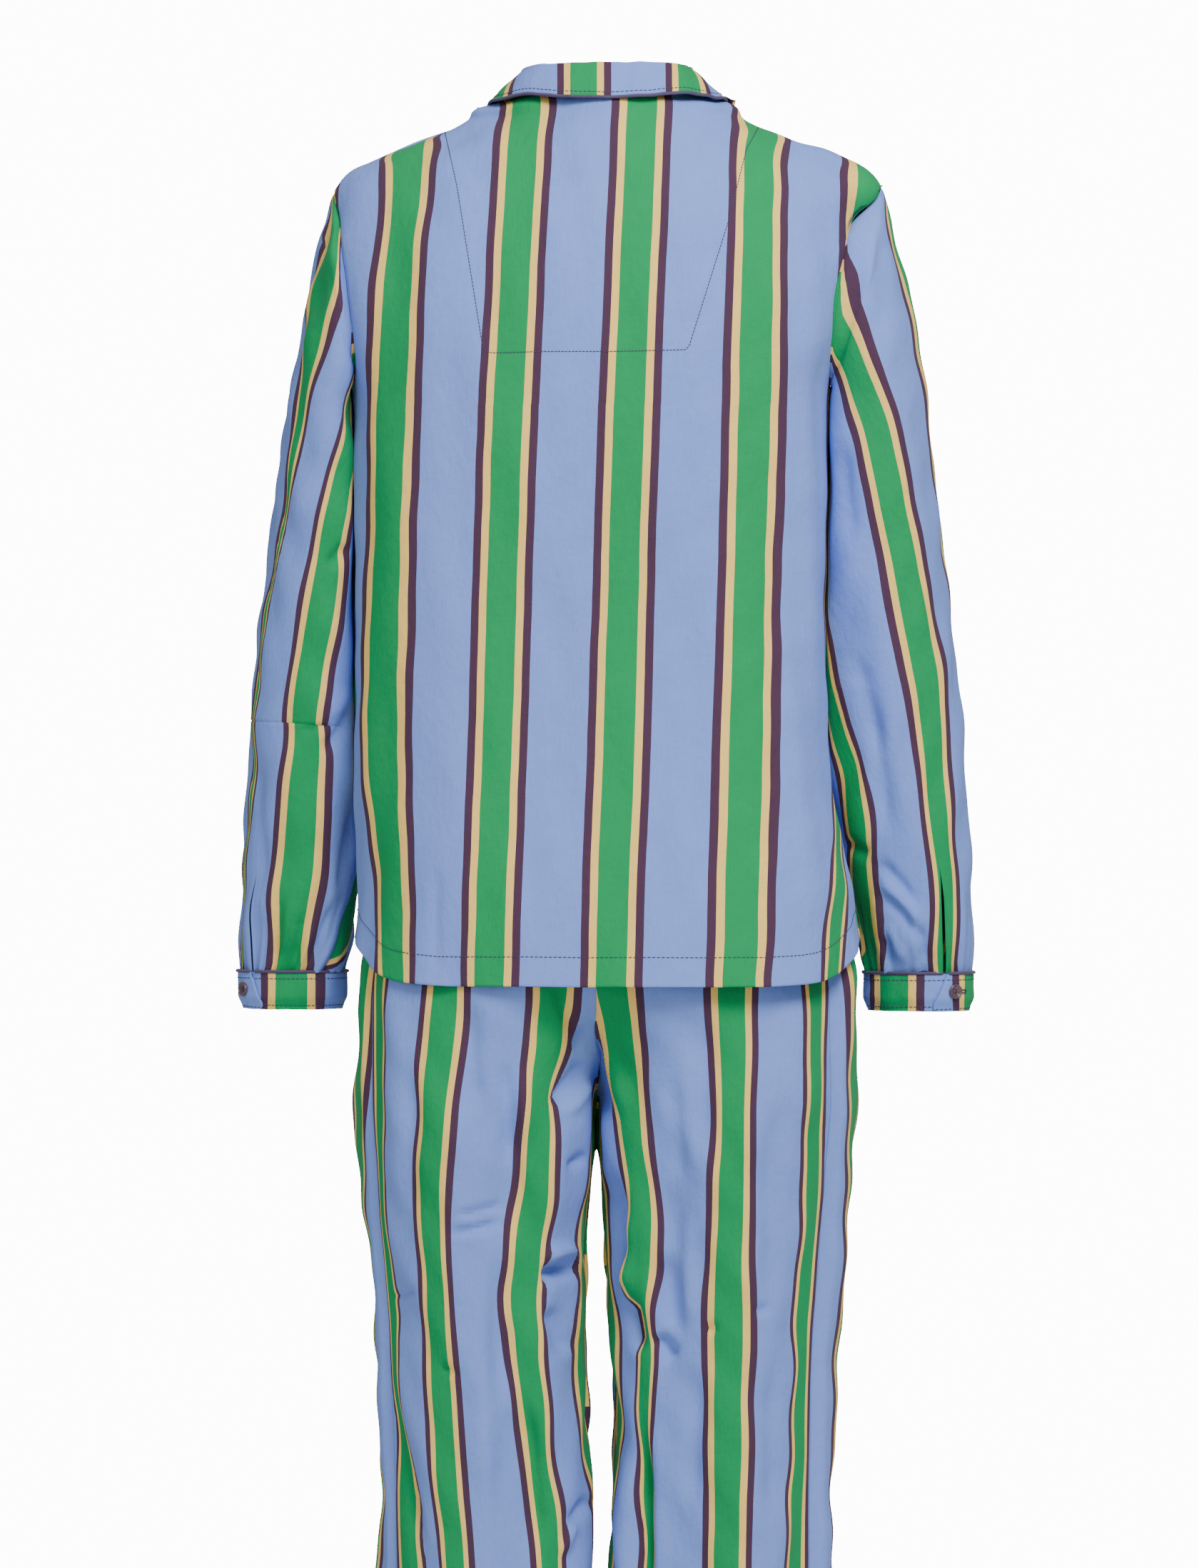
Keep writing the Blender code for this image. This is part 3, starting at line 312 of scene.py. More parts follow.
BUTTON_RADIUS = 0.0056
BUTTON_THICKNESS = 0.0024
BUTTON_CLEAR = 0.0007  # its flat back from the cloth
BUTTON_SIDES = 48
BUTTON_WELL = 0.60  # height of its middle, as a share of its thickness
BUTTON_PROFILE = (
    # share of the radius, share of the thickness
    (0.00, 0.60), (0.10, 0.60), (0.20, 0.60), (0.30, 0.60), (0.38, 0.60), (0.46, 0.60),
    (0.54, 0.61), (0.62, 0.64), (0.68, 0.72), (0.73, 0.86), (0.78, 0.96), (0.84, 1.00),
    (0.90, 0.97), (0.96, 0.84), (1.00, 0.62), (1.00, 0.45), (0.97, 0.20), (0.92, 0.00),
    (0.00, 0.00),
)
BUTTON_HOLES = 0.0015  # from the middle to each of its four holes
BUTTON_HOLE_RADIUS, BUTTON_HOLE_SOFT, BUTTON_HOLE_DEPTH = 0.00095, 0.0004, 0.0009
THREAD_RADIUS, THREAD_APART = 0.00034, 0.00106
THREAD_LOOP = (
    # x, and height over the button's well
    (-0.00106, -0.0006), (-0.00106, 0.0002), (-0.0006, 0.00055), (0.0, 0.00065),
    (0.0006, 0.00055), (0.00106, 0.0002), (0.00106, -0.0006),
)
STITCH = ((0.0, 0.35), (0.18, 1.0), (0.82, 1.0), (1.0, 0.35))  # share of its length, thickness
STITCH_LIFT = 0.0002
STITCH_SIDES = 6
CORD_END, CORD_NEXT = 0.15, 0.8  # thickness of a cord's last two rings, as a share of the others


# --- Tables and curves ------------------------------------------------
def smooth(keys, values, at, *columns):
    """Values between their keys, on smooth curves: columns says which curve each place is on."""
    slopes = np.gradient(values, keys, axis=0)
    low = np.clip(np.searchsorted(keys, at) - 1, 0, len(keys) - 2)
    span = keys[low + 1] - keys[low]
    t = (at - keys[low]) / span
    if columns:
        span, t = span[..., None], t[..., None]
    start, end = (low, *columns), (low + 1, *columns)
    return (
        values[start] * (1 + 2 * t) * (1 - t) ** 2
        + slopes[start] * span * t * (1 - t) ** 2
        + values[end] * t**2 * (3 - 2 * t)
        + slopes[end] * span * t**2 * (t - 1)
    )


def column(table, index, at):
    """Reads a column of a table smoothly at the given values of its first column."""
    rows = np.array(sorted(table))
    keys = rows[:, 0]
    return smooth(keys, rows[:, index], np.clip(np.asarray(at, float), keys[0], keys[-1]))


def ease(value):
    """0 to 1, with level ends."""
    value = np.clip(value, 0.0, 1.0)
    return value * value * (3 - 2 * value)


def power(value, exponent):
    return np.sign(value) * np.abs(value) ** exponent


def unit(vector):
    return vector / np.maximum(np.linalg.norm(vector, axis=-1, keepdims=True), 1e-12)


def bump(distance):
    return np.exp(-(distance**2))


def between(z, bottom, top, soft):
    """1 between two heights, fading out over a soft stretch at each end."""
    return ease((z - bottom) / soft) * ease((top - z) / soft)


def turned(points, slope):
    """Turns points about the vertical, as a shear of Y over X."""
    points[..., 1] -= slope * points[..., 0]
    return points


def stack(x, y, z):
    return np.stack(np.broadcast_arrays(x, y, z), axis=-1).astype(float)


# --- The shirt body ---------------------------------------------------
def body_size(z, side):
    """Half width on a side, back depth, front depth and squareness of the ring at a height."""
    width = np.where(side > 0, column(BODY, 1, z), column(BODY, 2, z))
    return width, column(BODY, 3, z), column(BODY, 4, z), column(BODY, 5, z)


def body_folds(x, z, back):
    depth = 0.0
    for fold_x, top, bottom, half, height, lean in BODY_FOLDS:
        across = (x - fold_x - lean * (z - top)) / half
        depth = depth + height * bump(across) * between(z, bottom, top, BODY_FOLD_SOFT)
    return depth * back


def body(angle, z):
    """The outside of the shirt at an angle (radians from +X, by the back) and a height."""
    c, s = np.cos(angle), np.sin(angle)
    width, back, front, square = body_size(z, c)
    x = width * power(c, 2 / square)
    y = np.where(s > 0, back, front) * power(s, 2 / square)
    y = y + body_folds(x, z, np.abs(s) ** 1.5 * np.sign(s))
    return turned(stack(x, y, z), SHIRT_TURN)


def body_angle(x, z, back=True):
    """The angle at which the ring at height z passes x."""
    width, _, _, square = body_size(z, x)
    c = np.sign(x) * np.clip(np.abs(x) / width, 0, 1) ** (square / 2)
    angle = np.arccos(c)
    return angle if back else -angle


def armhole_edge(z):
    """How far in from the side the armhole's edge is at a height."""
    c = np.clip((2 * z - SHOULDER_TIP - ARMPIT) / (SHOULDER_TIP - ARMPIT), -1, 1)
    return ARMHOLE_INSET * (1 - c * c) ** 1.3


def side_angle(z, sign):
    """Angle from the side line to the armhole's back or front edge: 0 where there is none."""
    width, _, _, square = body_size(z, sign)
    c = ((width - armhole_edge(z)) / width) ** (square / 2)
    return np.arccos(np.clip(c, -1, 1))


def hem_height(angle):
    """The hem drops from the side seams in a shirt-tail curve."""
    return HEM_LOW + HEM_LIFT * np.abs(np.cos(angle)) ** HEM_CURVE


def neckline(turn):
    """Angle and height of the neck seam: turn is 90 degrees at the back, 0 at the side."""
    x = NECK_HALF * np.cos(turn)
    s = np.sin(turn)
    z = NECK_SIDE + np.where(s > 0, NECK_BACK_RISE * s, NECK_FRONT_DROP * s)
    return body_angle(x, z, True) * np.where(s >= 0, 1, -1), z


def patch(bottom, top, first, last, rows, columns):
    """Coons patch in the plane of angle and height from four edge curves of 0 to 1."""
    u, v = np.meshgrid(columns, rows)
    b, t = np.stack(bottom(u)), np.stack(top(u))
    f, l = np.stack(first(v)), np.stack(last(v))
    b0, b1 = (np.stack(bottom(np.full_like(u, k))) for k in (0.0, 1.0))
    t0, t1 = (np.stack(top(np.full_like(u, k))) for k in (0.0, 1.0))
    flat = (1 - u) * (1 - v) * b0 + u * (1 - v) * b1 + (1 - u) * v * t0 + u * v * t1
    return (1 - v) * b + v * t + (1 - u) * f + u * l - flat


def armhole_height(turn):
    """Height of the armhole's edge: turn is 0 at the shoulder tip and 180 degrees at the armpit."""
    return (SHOULDER_TIP + ARMPIT) / 2 + (SHOULDER_TIP - ARMPIT) / 2 * np.cos(turn)


def side_heights():
    """Heights of the rows at the side: below the armhole, along it, and along the shoulder."""
    return np.concatenate([
        np.linspace(HEM_LOW + HEM_LIFT, ARMPIT, SIDE_STEPS, endpoint=False),
        armhole_height(np.linspace(np.pi, 0, ARMHOLE_STEPS + 1)),
        np.linspace(SHOULDER_TIP, NECK_SIDE, SHOULDER_STEPS + 1)[1:],
    ])


def stripe_marks(*lines):
    """Distances across the stripes: each is a count of repeats and a distance from there."""
    return [STRIPE_REPEAT * count + shift for count, shift in lines]


# The two plum middles of each of the back's five stripes.
BACK_STRIPES = (
    # z,     a_1,  a_2,  b_1, b_2, c_1,  c_2,  d_1,   d_2,   e_1,   e_2
    (81,    None, None,  791, 413, -67, -467, None,  None,  None,  None),
    (-54,   None, None,  813, 427, -59, -464, -967,  None,  None,  None),
    (-189,  None, 1274,  826, 437, -54, -456, -956, -1361,  None,  None),
    (-351,  1698, 1304,  840, 448, -49, -451, -950, -1339, -1790,  None),
    (-540,  1706, 1326,  856, 462, -38, -443, -950, -1350,  None,  None),
    (-729,  1714, 1342,  872, 473, -27, -437, -945, -1339,  None,  None),
    (-945,  1739, 1369,  886, 486, -16, -427, -940, -1345,  None,  None),
    (-1269, 1774, 1391,  902, 500,  -5, -410, -929, -1339,  None,  None),
    (-1809, 1793, 1415,  926, 524,  22, -389, -907, -1334,  None,  None),
    (-2349, 1804, 1434,  953, 551,  43, -373, -899, -1320,  None,  None),
    (-2889, 1814, 1450,  972, 570,  65, -351, -883, -1307,  None,  None),
    (-3429, 1836, 1461,  988, 589,  76, -335, -869, -1285,  None,  None),
    (-3969, 1847, 1472, 1004, 607,  95, -324, -853, -1272,  None,  None),
    (-4509, 1855, 1496, 1018, 624, 113, -308, -832, -1266,  None,  None),
    (-5049, 1836, 1493, 1037, 643, 130, -292, -815, -1264, -1712,  None),
    (-5427, 1806, 1477, 1050, 656, 146, -275, -807, -1255, -1712,  None),
    (-5859, 1771, 1461, 1069, 672, 162, -254, -794, -1245, -1704,  None),
    (-6075, 1758, 1455, 1075, 678, 167, -248, -791, -1242, -1674, -1820),
    (-6399, 1744, 1458, 1088, 686, 173, -243, -780, -1226, -1652, -1804),
    (-6507, 1744, 1461, 1091, 691, 178, -240, -775, -1215, -1647, -1798),
)
BACK_MARKS = stripe_marks(*((k, side * PLUM_MIDDLE) for k in range(5) for side in (-1, 1)))
# The outer stripe's plum middles a_1 and a_2 and its green middle a, and the next one's plum
# middles. Below the cross seam they are where they were before its shift.
LEFT_SLEEVE_STRIPES = (
    # z,     a_1,    a,  a_2,  b_1,  b_2
    (-729,  None, 2030, None, None, None),
    (-950,  2144, 2052, None, None, None),
    (-1118, 2200, 2071, None, None, None),
    (-1269, 2233, 2101, None, None, None),
    (-1431, 2265, 2152, 1998, None, None),
    (-1593, 2287, 2192, 2060, None, None),
    (-1809, 2308, 2246, 2133, None, None),
    (-2025, 2336, 2292, 2211, None, None),
    (-2241, 2357, 2325, 2265, 1966, None),
    (-2457, 2387, 2360, 2306, 2028, None),
    (-2673, None, 2398, 2349, 2095, None),
    (-2889, None, 2438, 2395, 2152, None),
    (-3105, None, None, 2444, 2200, None),
    (-3321, None, None, 2487, 2238, 1960),
    (-3537, None, None, 2538, 2279, 1958),
    (-3753, None, None, 2570, 2319, 1987),
    (-3969, None, None, None, 2357, 2025),
    (-4185, None, None, None, 2392, 2060),
    (-4401, None, None, None, 2419, 2092),
    (-4574, None, None, None, 2438, 2117),
    (-4725, None, None, None, 2432, 2095),
    (-5049, None, None, None, 2473, 2108),
    (-5373, None, None, None, 2508, 2114),
    (-5697, None, None, None, 2548, 2133),
    (-6021, None, None, None, 2562, 2192),
    (-6291, None, None, None, 2565, 2241),
)
# From the outside in: the inner plum middle of the outer stripe, and both of the next two.
RIGHT_SLEEVE_STRIPES = (
    # z,      a_2,   b_1,   b_2,   c_1,   c_2
    (-729,  -2106,  None,  None,  None,  None),
    (-837,  -2122,  None,  None,  None,  None),
    (-950,  -2152,  None,  None,  None,  None),
    (-1118, -2203, -1801,  None,  None,  None),
    (-1269, -2238, -1844,  None,  None,  None),
    (-1431, -2271, -1885,  None,  None,  None),
    (-1593, -2303, -1947,  None,  None,  None),
    (-1809,  None, -2022, -1704,  None,  None),
    (-2025,  None, -2106, -1763,  None,  None),
    (-2241,  None, -2182, -1825,  None,  None),
    (-2457,  None, -2228, -1893,  None,  None),
    (-2673,  None, -2271, -1939,  None,  None),
    (-2889,  None, -2314, -1982,  None,  None),
    (-3105,  None, -2363, -2025,  None,  None),
    (-3321,  None, -2408, -2068,  None,  None),
    (-3537,  None, -2452, -2106,  None,  None),
    (-3753,  None, -2492, -2144, -1663,  None),
    (-3969,  None, -2527, -2187, -1688,  None),
    (-4185,  None, -2562, -2233, -1725,  None),
    (-4401,  None, -2581, -2276, -1769,  None),
    (-4725,  None, -2595, -2330, -1850,  None),
    (-5049,  None, -2597, -2371, -1963, -1752),
    (-5373,  None, -2616, -2403, -2020, -1798),
    (-5697,  None, -2646, -2449, -2025, -1833),
    (-6021,  None, -2654, -2468, -2079, -1874),
    (-6291,  None, -2649, -2454, -2084, -1933),
)
# From the side in: the outer edges of the side stripe's plum, a_1 and a_2, the plum middles of
# the next two stripes and one of the last.
LEFT_LEG_STRIPES = (
    # z,      a_1,  a_2,  b_1,  b_2, c_1, c_2,  d_1
    (-6590,  1779, 1644, 1385, 1048, 583, 216, None),
    (-6830,  1777, 1658, 1409, 1066, 602, 240, None),
    (-7100,  1775, 1667, 1444, 1093, 632, 281, None),
    (-7370,  1773, 1673, 1467, 1135, 648, 400, None),
    (-7510,  1771, 1675, 1469, 1150, 653, 383,  108),
    (-7780,  1769, 1676, 1481, 1171, 672, 375,  124),
    (-8180,  1766, 1676, 1493, 1201, 702, 386,  173),
    (-8320,  1760, 1665, 1483, 1210, 745, 394,  200),
    (-8590,  1740, 1628, 1450, 1203, 772, 432,  232),
    (-8830,  1726, 1609, 1418, 1188, 791, 445,  184),
    (-8940,  1715, 1593, 1422, 1181, 810, 478,  205),
    (-9130,  1706, 1581, 1420, 1166, 775, 443,  216),
    (-9400,  1680, 1569, 1403, 1139, 745, 464,  224),
    (-9670,  1620, 1550, 1377, 1119, 710, 418,  232),
    (-9940,  1590, 1530, 1355, 1100, 675, 416,  221),
    (-10210, 1592, 1497, 1331, 1082, 637, 383,  173),
    (-10480, 1599, 1460, 1307, 1060, 599, 340,  124),
    (-10750, 1594, 1415, 1282, 1039, 567, 311, None),
    (-10960, 1588, 1382, 1269, 1023, 551, 308, None),
    (-13000, 1580, 1310, 1210,  950, 480, 180, None),
    (-15010, 1580, 1290, 1180,  920, 440, 110, None),
)
# The right leg's, from its inner side: a plum middle, those of the next two stripes, and the
# outer edges of the side stripe's plum, d_1 and d_2.
RIGHT_LEG_STRIPES = (
    # z,      a_2,  b_1,  b_2,  c_1,   c_2,   d_1,   d_2
    (-6590,  None,  124, -238, -756, -1123, -1476, -1688),
    (-6830,  None,   92, -281, -770, -1125, -1480, -1675),
    (-7100,  None,   22, -300, -786, -1126, -1484, -1663),
    (-7370,  None,  -43, -302, -801, -1110, -1482, -1658),
    (-7640,  None,  -86, -324, -805, -1104, -1480, -1653),
    (-7780,    59, -108, -338, -803, -1105, -1477, -1650),
    (-8050,    27, -146, -362, -790, -1108, -1470, -1647),
    (-8320,     5, -138, -400, -778, -1104, -1460, -1630),
    (-8590,   -16, -119, -410, -763, -1097, -1448, -1600),
    (-8860,   -54, -130, -383, -742, -1106, -1428, -1585),
    (-9090,   -89, -165, -335, -740, -1115, -1407, -1566),
    (-9260,  -103, -221, -367, -729, -1115, -1414, -1556),
    (-9420,  -113, -230, -375, -737, -1111, -1427, -1548),
    (-9670,  -135, -216, -356, -740, -1090, -1404, -1542),
    (-9940,  -121, -224, -329, -740, -1102, -1397, -1536),
    (-10210,  -81, -211, -308, -740, -1096, -1400, -1532),
    (-10480, None, -216, -302, -736, -1083, -1351, -1528),
    (-10750, None, -232, -292, -734, -1078, -1334, -1528),
    (-10960, None, -232, -292, -729, -1077, -1322, -1528),
    (-13000, None, -200, -290, -727, -1073, -1240, -1530),
    (-15010, None, -180, -290, -727, -1073, -1230, -1530),
)
# Distance across the front panels' stripes at the side seams, 0 in the middle of a green one.
SIDE_SEAM_STRIPES = (
    # z,     left,   right
    (-0.64,  0.0180, -0.0330),
    (-0.683, 0.0205, -0.0360),
    (-0.735, 0.0270, -0.0392),
    (-0.764, 0.0330, -0.0410),
    (-0.80,  0.0400, -0.0430),
    (-0.90,  0.0480, -0.0470),
    (-1.10,  0.0520, -0.0500),
    (-1.50,  0.0520, -0.0500),
)


# --- Grids of cloth ---------------------------------------------------
# A sheet is a tuple of four grids: its points, their normals, and the distances across and along
# the grain.
EDGES = {"bottom": (False, 1), "top": (False, -1), "first": (True, 1), "last": (True, -1)}


def seen(points):
    """Where the camera sees points, as X and Z on the picture plane."""
    near = EYE_DISTANCE / (EYE_DISTANCE - points[..., 1])
    return EYE_X + (points[..., 0] - EYE_X) * near, EYE_Z + (points[..., 2] - EYE_Z) * near


def grid_normals(points):
    """Normals of a grid; the outermost ones are those of the third row or column."""
    normal = unit(np.cross(np.gradient(points, axis=1), np.gradient(points, axis=0)))
    normal[:, :2], normal[:, -2:] = normal[:, 2:3], normal[:, -3:-2]
    normal[:2], normal[-2:] = normal[2:3], normal[-3:-2]
    return normal


def spread(count, edge=0.35):
    """Even steps from 0 to 1 with one narrow step at each end."""
    even = np.linspace(0, 1, count + 1)
    return np.concatenate([[0.0, edge / count], even[1:-1], [1 - edge / count, 1.0]])


def row_lengths(points):
    """Level distance along each row of a grid from its first column."""
    steps = np.linalg.norm(np.diff(points[..., :2], axis=1), axis=-1)
    return np.concatenate([np.zeros((len(points), 1)), np.cumsum(steps, axis=1)], axis=1)


def run_along(points):
    """Distance along a line, or along each column of a grid, from its first point."""
    steps = np.linalg.norm(np.diff(points, axis=0), axis=-1)
    return np.concatenate([np.zeros((1, *steps.shape[1:])), steps.cumsum(axis=0)])


def mean_run(points):
    """Distance of a grid's rows from its first, as the mean of its columns."""
    steps = np.linalg.norm(np.diff(points, axis=0), axis=-1).mean(axis=1)
    return np.concatenate([[0.0], steps.cumsum()])


def sample(at, run, values):
    """What a line's values are at a distance along it."""
    return np.stack([np.interp(at, run, value) for value in values.T], axis=-1)


def from_edge(edge, *grids):
    """Grids turned so that their rows count from the named edge inwards."""
    swap, step = EDGES[edge]
    return [(grid.swapaxes(0, 1) if swap else grid)[::step] for grid in grids]


def turned_back(edge, *grids):
    """Grids from from_edge, with their rows and columns as they were before."""
    swap, step = EDGES[edge]
    return [grid[::step].swapaxes(0, 1) if swap else grid[::step] for grid in grids]


def carried_on(found):
    """Where a line isn't seen, it keeps its distance from the nearest one that is."""
    whole = found.copy()
    count, rows = found.shape
    for index in range(count):
        known = np.nonzero(np.isfinite(found[index]))[0]
        whole[index, known[0]:known[-1]] = np.interp(
            np.arange(known[0], known[-1]), known, found[index, known])
        near = np.argsort(np.abs(np.arange(count) - index), kind="stable")
        for missing, step in ((range(known[0] - 1, -1, -1), 1), (range(known[-1] + 1, rows), -1)):
            for row in missing:
                shifts = found[near, row] - found[near, row + step]
                shifts = shifts[np.isfinite(shifts)]
                whole[index, row] = whole[index, row + step] + (shifts[0] if len(shifts) else 0.0)
    return whole


def smoothed(values, reach=4):
    """A running mean along the last axis, except near its ends."""
    count = values.shape[1]
    padded = np.pad(values, ((0, 0), (reach, reach)), mode="edge")
    soft = sum(padded[:, k:k + count] for k in range(2 * reach + 1)) / (2 * reach + 1)
    from_end = np.minimum(np.arange(count), np.arange(count)[::-1])
    return values + (soft - values) * ease((from_end - 2 * reach) / (2 * reach))


def grain(points, lines, front=False):
    """Distance across the stripes at each point of a grid, 0 in the middle of a green one.

    Each line is a pair: what that distance is on the line, and its places (z, x), as the camera
    sees them or, on the garment's front, as they are.
    """
    x, z = (points[..., 0], points[..., 2]) if front else seen(points)
    toward = -points[..., 1] if front else points[..., 1]
    nearest = int(np.argmax(toward.mean(axis=0)))
    lengths = row_lengths(points)
    lengths -= lengths[:, [nearest]]
    steps = np.diff(x, axis=1)
    shown = steps * steps[:, [min(nearest, steps.shape[1] - 1)]] > 0
    found = np.full((len(lines), len(points)), np.nan)
    for index, (_, places) in enumerate(lines):
        low, high = min(place[0] for place in places), max(place[0] for place in places)
        off = x - column(places, 1, z)
        crossing = off[:, :-1] * off[:, 1:] <= 0
        crossing &= (z[:, :-1] > low - LINE_END) & (z[:, :-1] < high + LINE_END)
        crossing &= shown
        for row in range(len(points)):
            crossed = np.nonzero(crossing[row])[0]
            if len(crossed):
                c = crossed[np.argmax(toward[row, crossed])]
                share = off[row, c] / (off[row, c] - off[row, c + 1] + 1e-12)
                step = lengths[row, c + 1] - lengths[row, c]
                found[index, row] = lengths[row, c] + share * step
    on_cloth = ~np.isnan(found).all(axis=1)
    drift = x[:, nearest] * np.sign(steps[:, min(nearest, steps.shape[1] - 1)].mean())
    whole = smoothed(carried_on(found[on_cloth]) + drift) - drift
    marks = np.array([mark for mark, _ in lines])[on_cloth]
    across = np.empty(lengths.shape)
    for row in range(len(points)):
        order = np.argsort(whole[:, row])
        places = whole[order, row]
        value = np.interp(lengths[row], places, marks[order])
        value += np.minimum(lengths[row] - places[0], 0)
        across[row] = value + np.maximum(lengths[row] - places[-1], 0)
    return across


def stripe_lines(table, marks):
    """The lines for grain from a table: one for each column, with the distance on it."""
    return [
        (mark, [(row[0] / TENTHS, row[index] / TENTHS) for row in table if row[index] is not None])
        for index, mark in enumerate(marks, 1)
    ]


def sheet(points, across):
    return points, grid_normals(points), across, points[..., 2].copy()


def fold_in(cloth, edge, depth, gap=HEM_GAP):
    """Turns an edge of a sheet in behind it, as a hem or a facing is."""
    points, normal, across, along = from_edge(edge, *cloth)
    count = int(np.searchsorted(mean_run(points)[:-1], depth))
    rows = [*range(count, 0, -1), 0, *range(len(points))]
    inset = np.array([gap] * count + [gap / 2] + [0.0] * len(points))
    moved = points[rows] - normal[rows] * inset[:, None, None]
    moved[count] += unit(points[0] - points[1]) * gap / 2
    return turned_back(edge, moved, normal[rows], across[rows], along[rows])


def tuck(cloth, edge, depth=SEAM_TUCK, way=None):
    """Turns an edge of a sheet in, as a seam's edge lies inside: straight in, or along way."""
    points, normal, across, along = from_edge(edge, *cloth)
    rows = [0, *range(len(points))]
    moved = points[rows]
    moved[0] += (-normal[0] if way is None else way) * depth
    return turned_back(edge, moved, normal[rows], across[rows], along[rows])


def valley(points, normal, edges, depth=SEAM_VALLEY, reach=SEAM_REACH):
    """Lets the cloth dip towards the seams at the named edges."""
    dip = np.zeros(points.shape[:2])
    for edge in edges:
        (rise,) = turned_back(edge, run_along(*from_edge(edge, points)))
        dip = np.maximum(dip, ease(1 - rise / reach))
    return points - normal * (dip * depth)[..., None]


def creases(points, normal, table):
    """Height of a table's creases at each point, on what faces the camera."""
    x, z = seen(points)
    total = np.zeros(x.shape)
    for start_x, start_z, end_x, end_z, half, height, bow in (np.array(table) / TENTHS).tolist():
        run_x, run_z = end_x - start_x, end_z - start_z
        length = math.hypot(run_x, run_z)
        along = ((x - start_x) * run_x + (z - start_z) * run_z) / length**2
        off = ((x - start_x) * run_z - (z - start_z) * run_x) / length
        off = off - bow * 4 * along * (1 - along)
        total += height * bump(off / half) * between(along, 0, 1, CREASE_FADE)
    return total * ease(normal[..., 1] * 3)


def ripples(points, size, height, seed):
    """Soft uneven relief of about that size and height, its waves longer up than across."""
    random = np.random.default_rng(seed)
    total = np.zeros(points.shape[:-1])
    for _ in range(RIPPLES):
        direction = unit(random.normal(size=3) * (1.0, 1.0, 1 / RIPPLES_TALL))
        wavelength = size * random.uniform(0.5, 1.7)
        phase = random.uniform(0, 2 * math.pi)
        total += np.sin(points @ direction * (2 * math.pi / wavelength) + phase)
    return total * height / math.sqrt(RIPPLES / 2)


def piece(name, points, faces, material, nodes, places=None, weld=0.0):
    """A smooth mesh on the part. places are its grain's map, weld joins points nearer than it."""
    mesh = bpy.data.meshes.new(name)
    mesh.from_pydata(np.asarray(points).tolist(), [], faces)
    if places is not None:
        mesh.uv_layers.new(name="grain").data.foreach_set("uv", places)
    if weld:
        edit = bmesh.new()
        edit.from_mesh(mesh)
        bmesh.ops.remove_doubles(edit, verts=edit.verts, dist=weld)
        edit.to_mesh(mesh)
        edit.free()
    mesh.shade_smooth()
    mesh.materials.append(material)
    made = bpy.data.objects.new(name, mesh)
    bpy.context.scene.collection.objects.link(made)
    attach(made, "root")
    if nodes:
        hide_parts(*nodes)
    return made


def add_cloth(name, cloth, nodes, material, cut=None, weld=0.0):
    """A mesh of a sheet, with its grain as a map. cut says which cells are left open."""
    points, _, across, along = cloth
    index = np.arange(across.size).reshape(across.shape)
    corners = np.stack([index[:-1, :-1], index[:-1, 1:], index[1:, 1:], index[1:, :-1]], axis=-1)
    faces = corners.reshape(-1, 4) if cut is None else corners[~cut]
    places = np.stack([across.ravel(), along.ravel()], axis=-1)[faces.ravel()].ravel()
    points = points.reshape(-1, 3)
    return piece(name, points, faces.tolist(), material, nodes, places, weld)


# --- Materials --------------------------------------------------------
BLUE = (0.205, 0.322, 0.800, 1.0)
GREEN = (0.002, 0.310, 0.092, 1.0)
CREAM = (0.980, 0.640, 0.170, 1.0)
PLUM = (0.076, 0.032, 0.068, 1.0)


class Nodes:
    """A material's node tree, with short ways to add to it."""

    def __init__(self, name):
        self.material = bpy.data.materials.new(name)
        self.material.use_nodes = True
        self.tree = self.material.node_tree
        self.shader = self.tree.nodes["Principled BSDF"]

    def put(self, value, socket):
        if hasattr(value, "links"):
            self.tree.links.new(value, socket)
        else:
            socket.default_value = value

    def add(self, kind, *values, **settings):
        """A node with these settings: the values or links are for its sockets, in order."""
        node = self.tree.nodes.new(kind)
        for key, value in settings.items():
            setattr(node, key, value)
        for value, socket in zip(values, node.inputs):
            self.put(value, socket)
        return node

    def fill(self, node, **values):
        """Values or links for a node's named sockets."""
        for name, value in values.items():
            self.put(value, node.inputs[name.replace("_", " ")])
        return node.outputs[0]

    def math(self, operation, *values):
        return self.add("ShaderNodeMath", *values, operation=operation).outputs[0]

    def map(self, *values):
        """Maps a value from a range, low and high, to another."""
        return self.add("ShaderNodeMapRange", *values).outputs["Result"]

    def noise(self, place, scale, detail=2.0, rough=0.5):
        node = self.add("ShaderNodeTexNoise")
        return self.fill(node, Vector=place, Scale=scale, Detail=detail, Roughness=rough)

    def grain(self):
        """Distances across and along the cloth's grain, in metres."""
        uv = self.add("ShaderNodeUVMap", uv_map="grain").outputs["UV"]
        self.across, self.along = self.add("ShaderNodeSeparateXYZ", uv).outputs[:2]
        return self.across, self.along

    def cloth_noise(self, across, along, detail=2.0, rough=0.5):
        """Noise with so many waves to the metre across and along the grain."""
        x, y = self.math("MULTIPLY", self.across, across), self.math("MULTIPLY", self.along, along)
        place = self.add("ShaderNodeCombineXYZ", x, y).outputs[0]
        return self.noise(place, 1.0, detail, rough)

    def place(self):
        return self.add("ShaderNodeTexCoord").outputs["Object"]

    def shade(self, colour, factor):
        """A colour made lighter or darker by a factor."""
        node = self.add("ShaderNodeVectorMath", colour, operation="SCALE")
        return self.fill(node, Scale=factor)

    def relief(self, height, distance, strength, **below):
        node = self.add("ShaderNodeBump")
        return self.fill(node, Strength=strength, Distance=distance, Height=height, **below)

    def set(self, **values):
        self.fill(self.shader, **values)


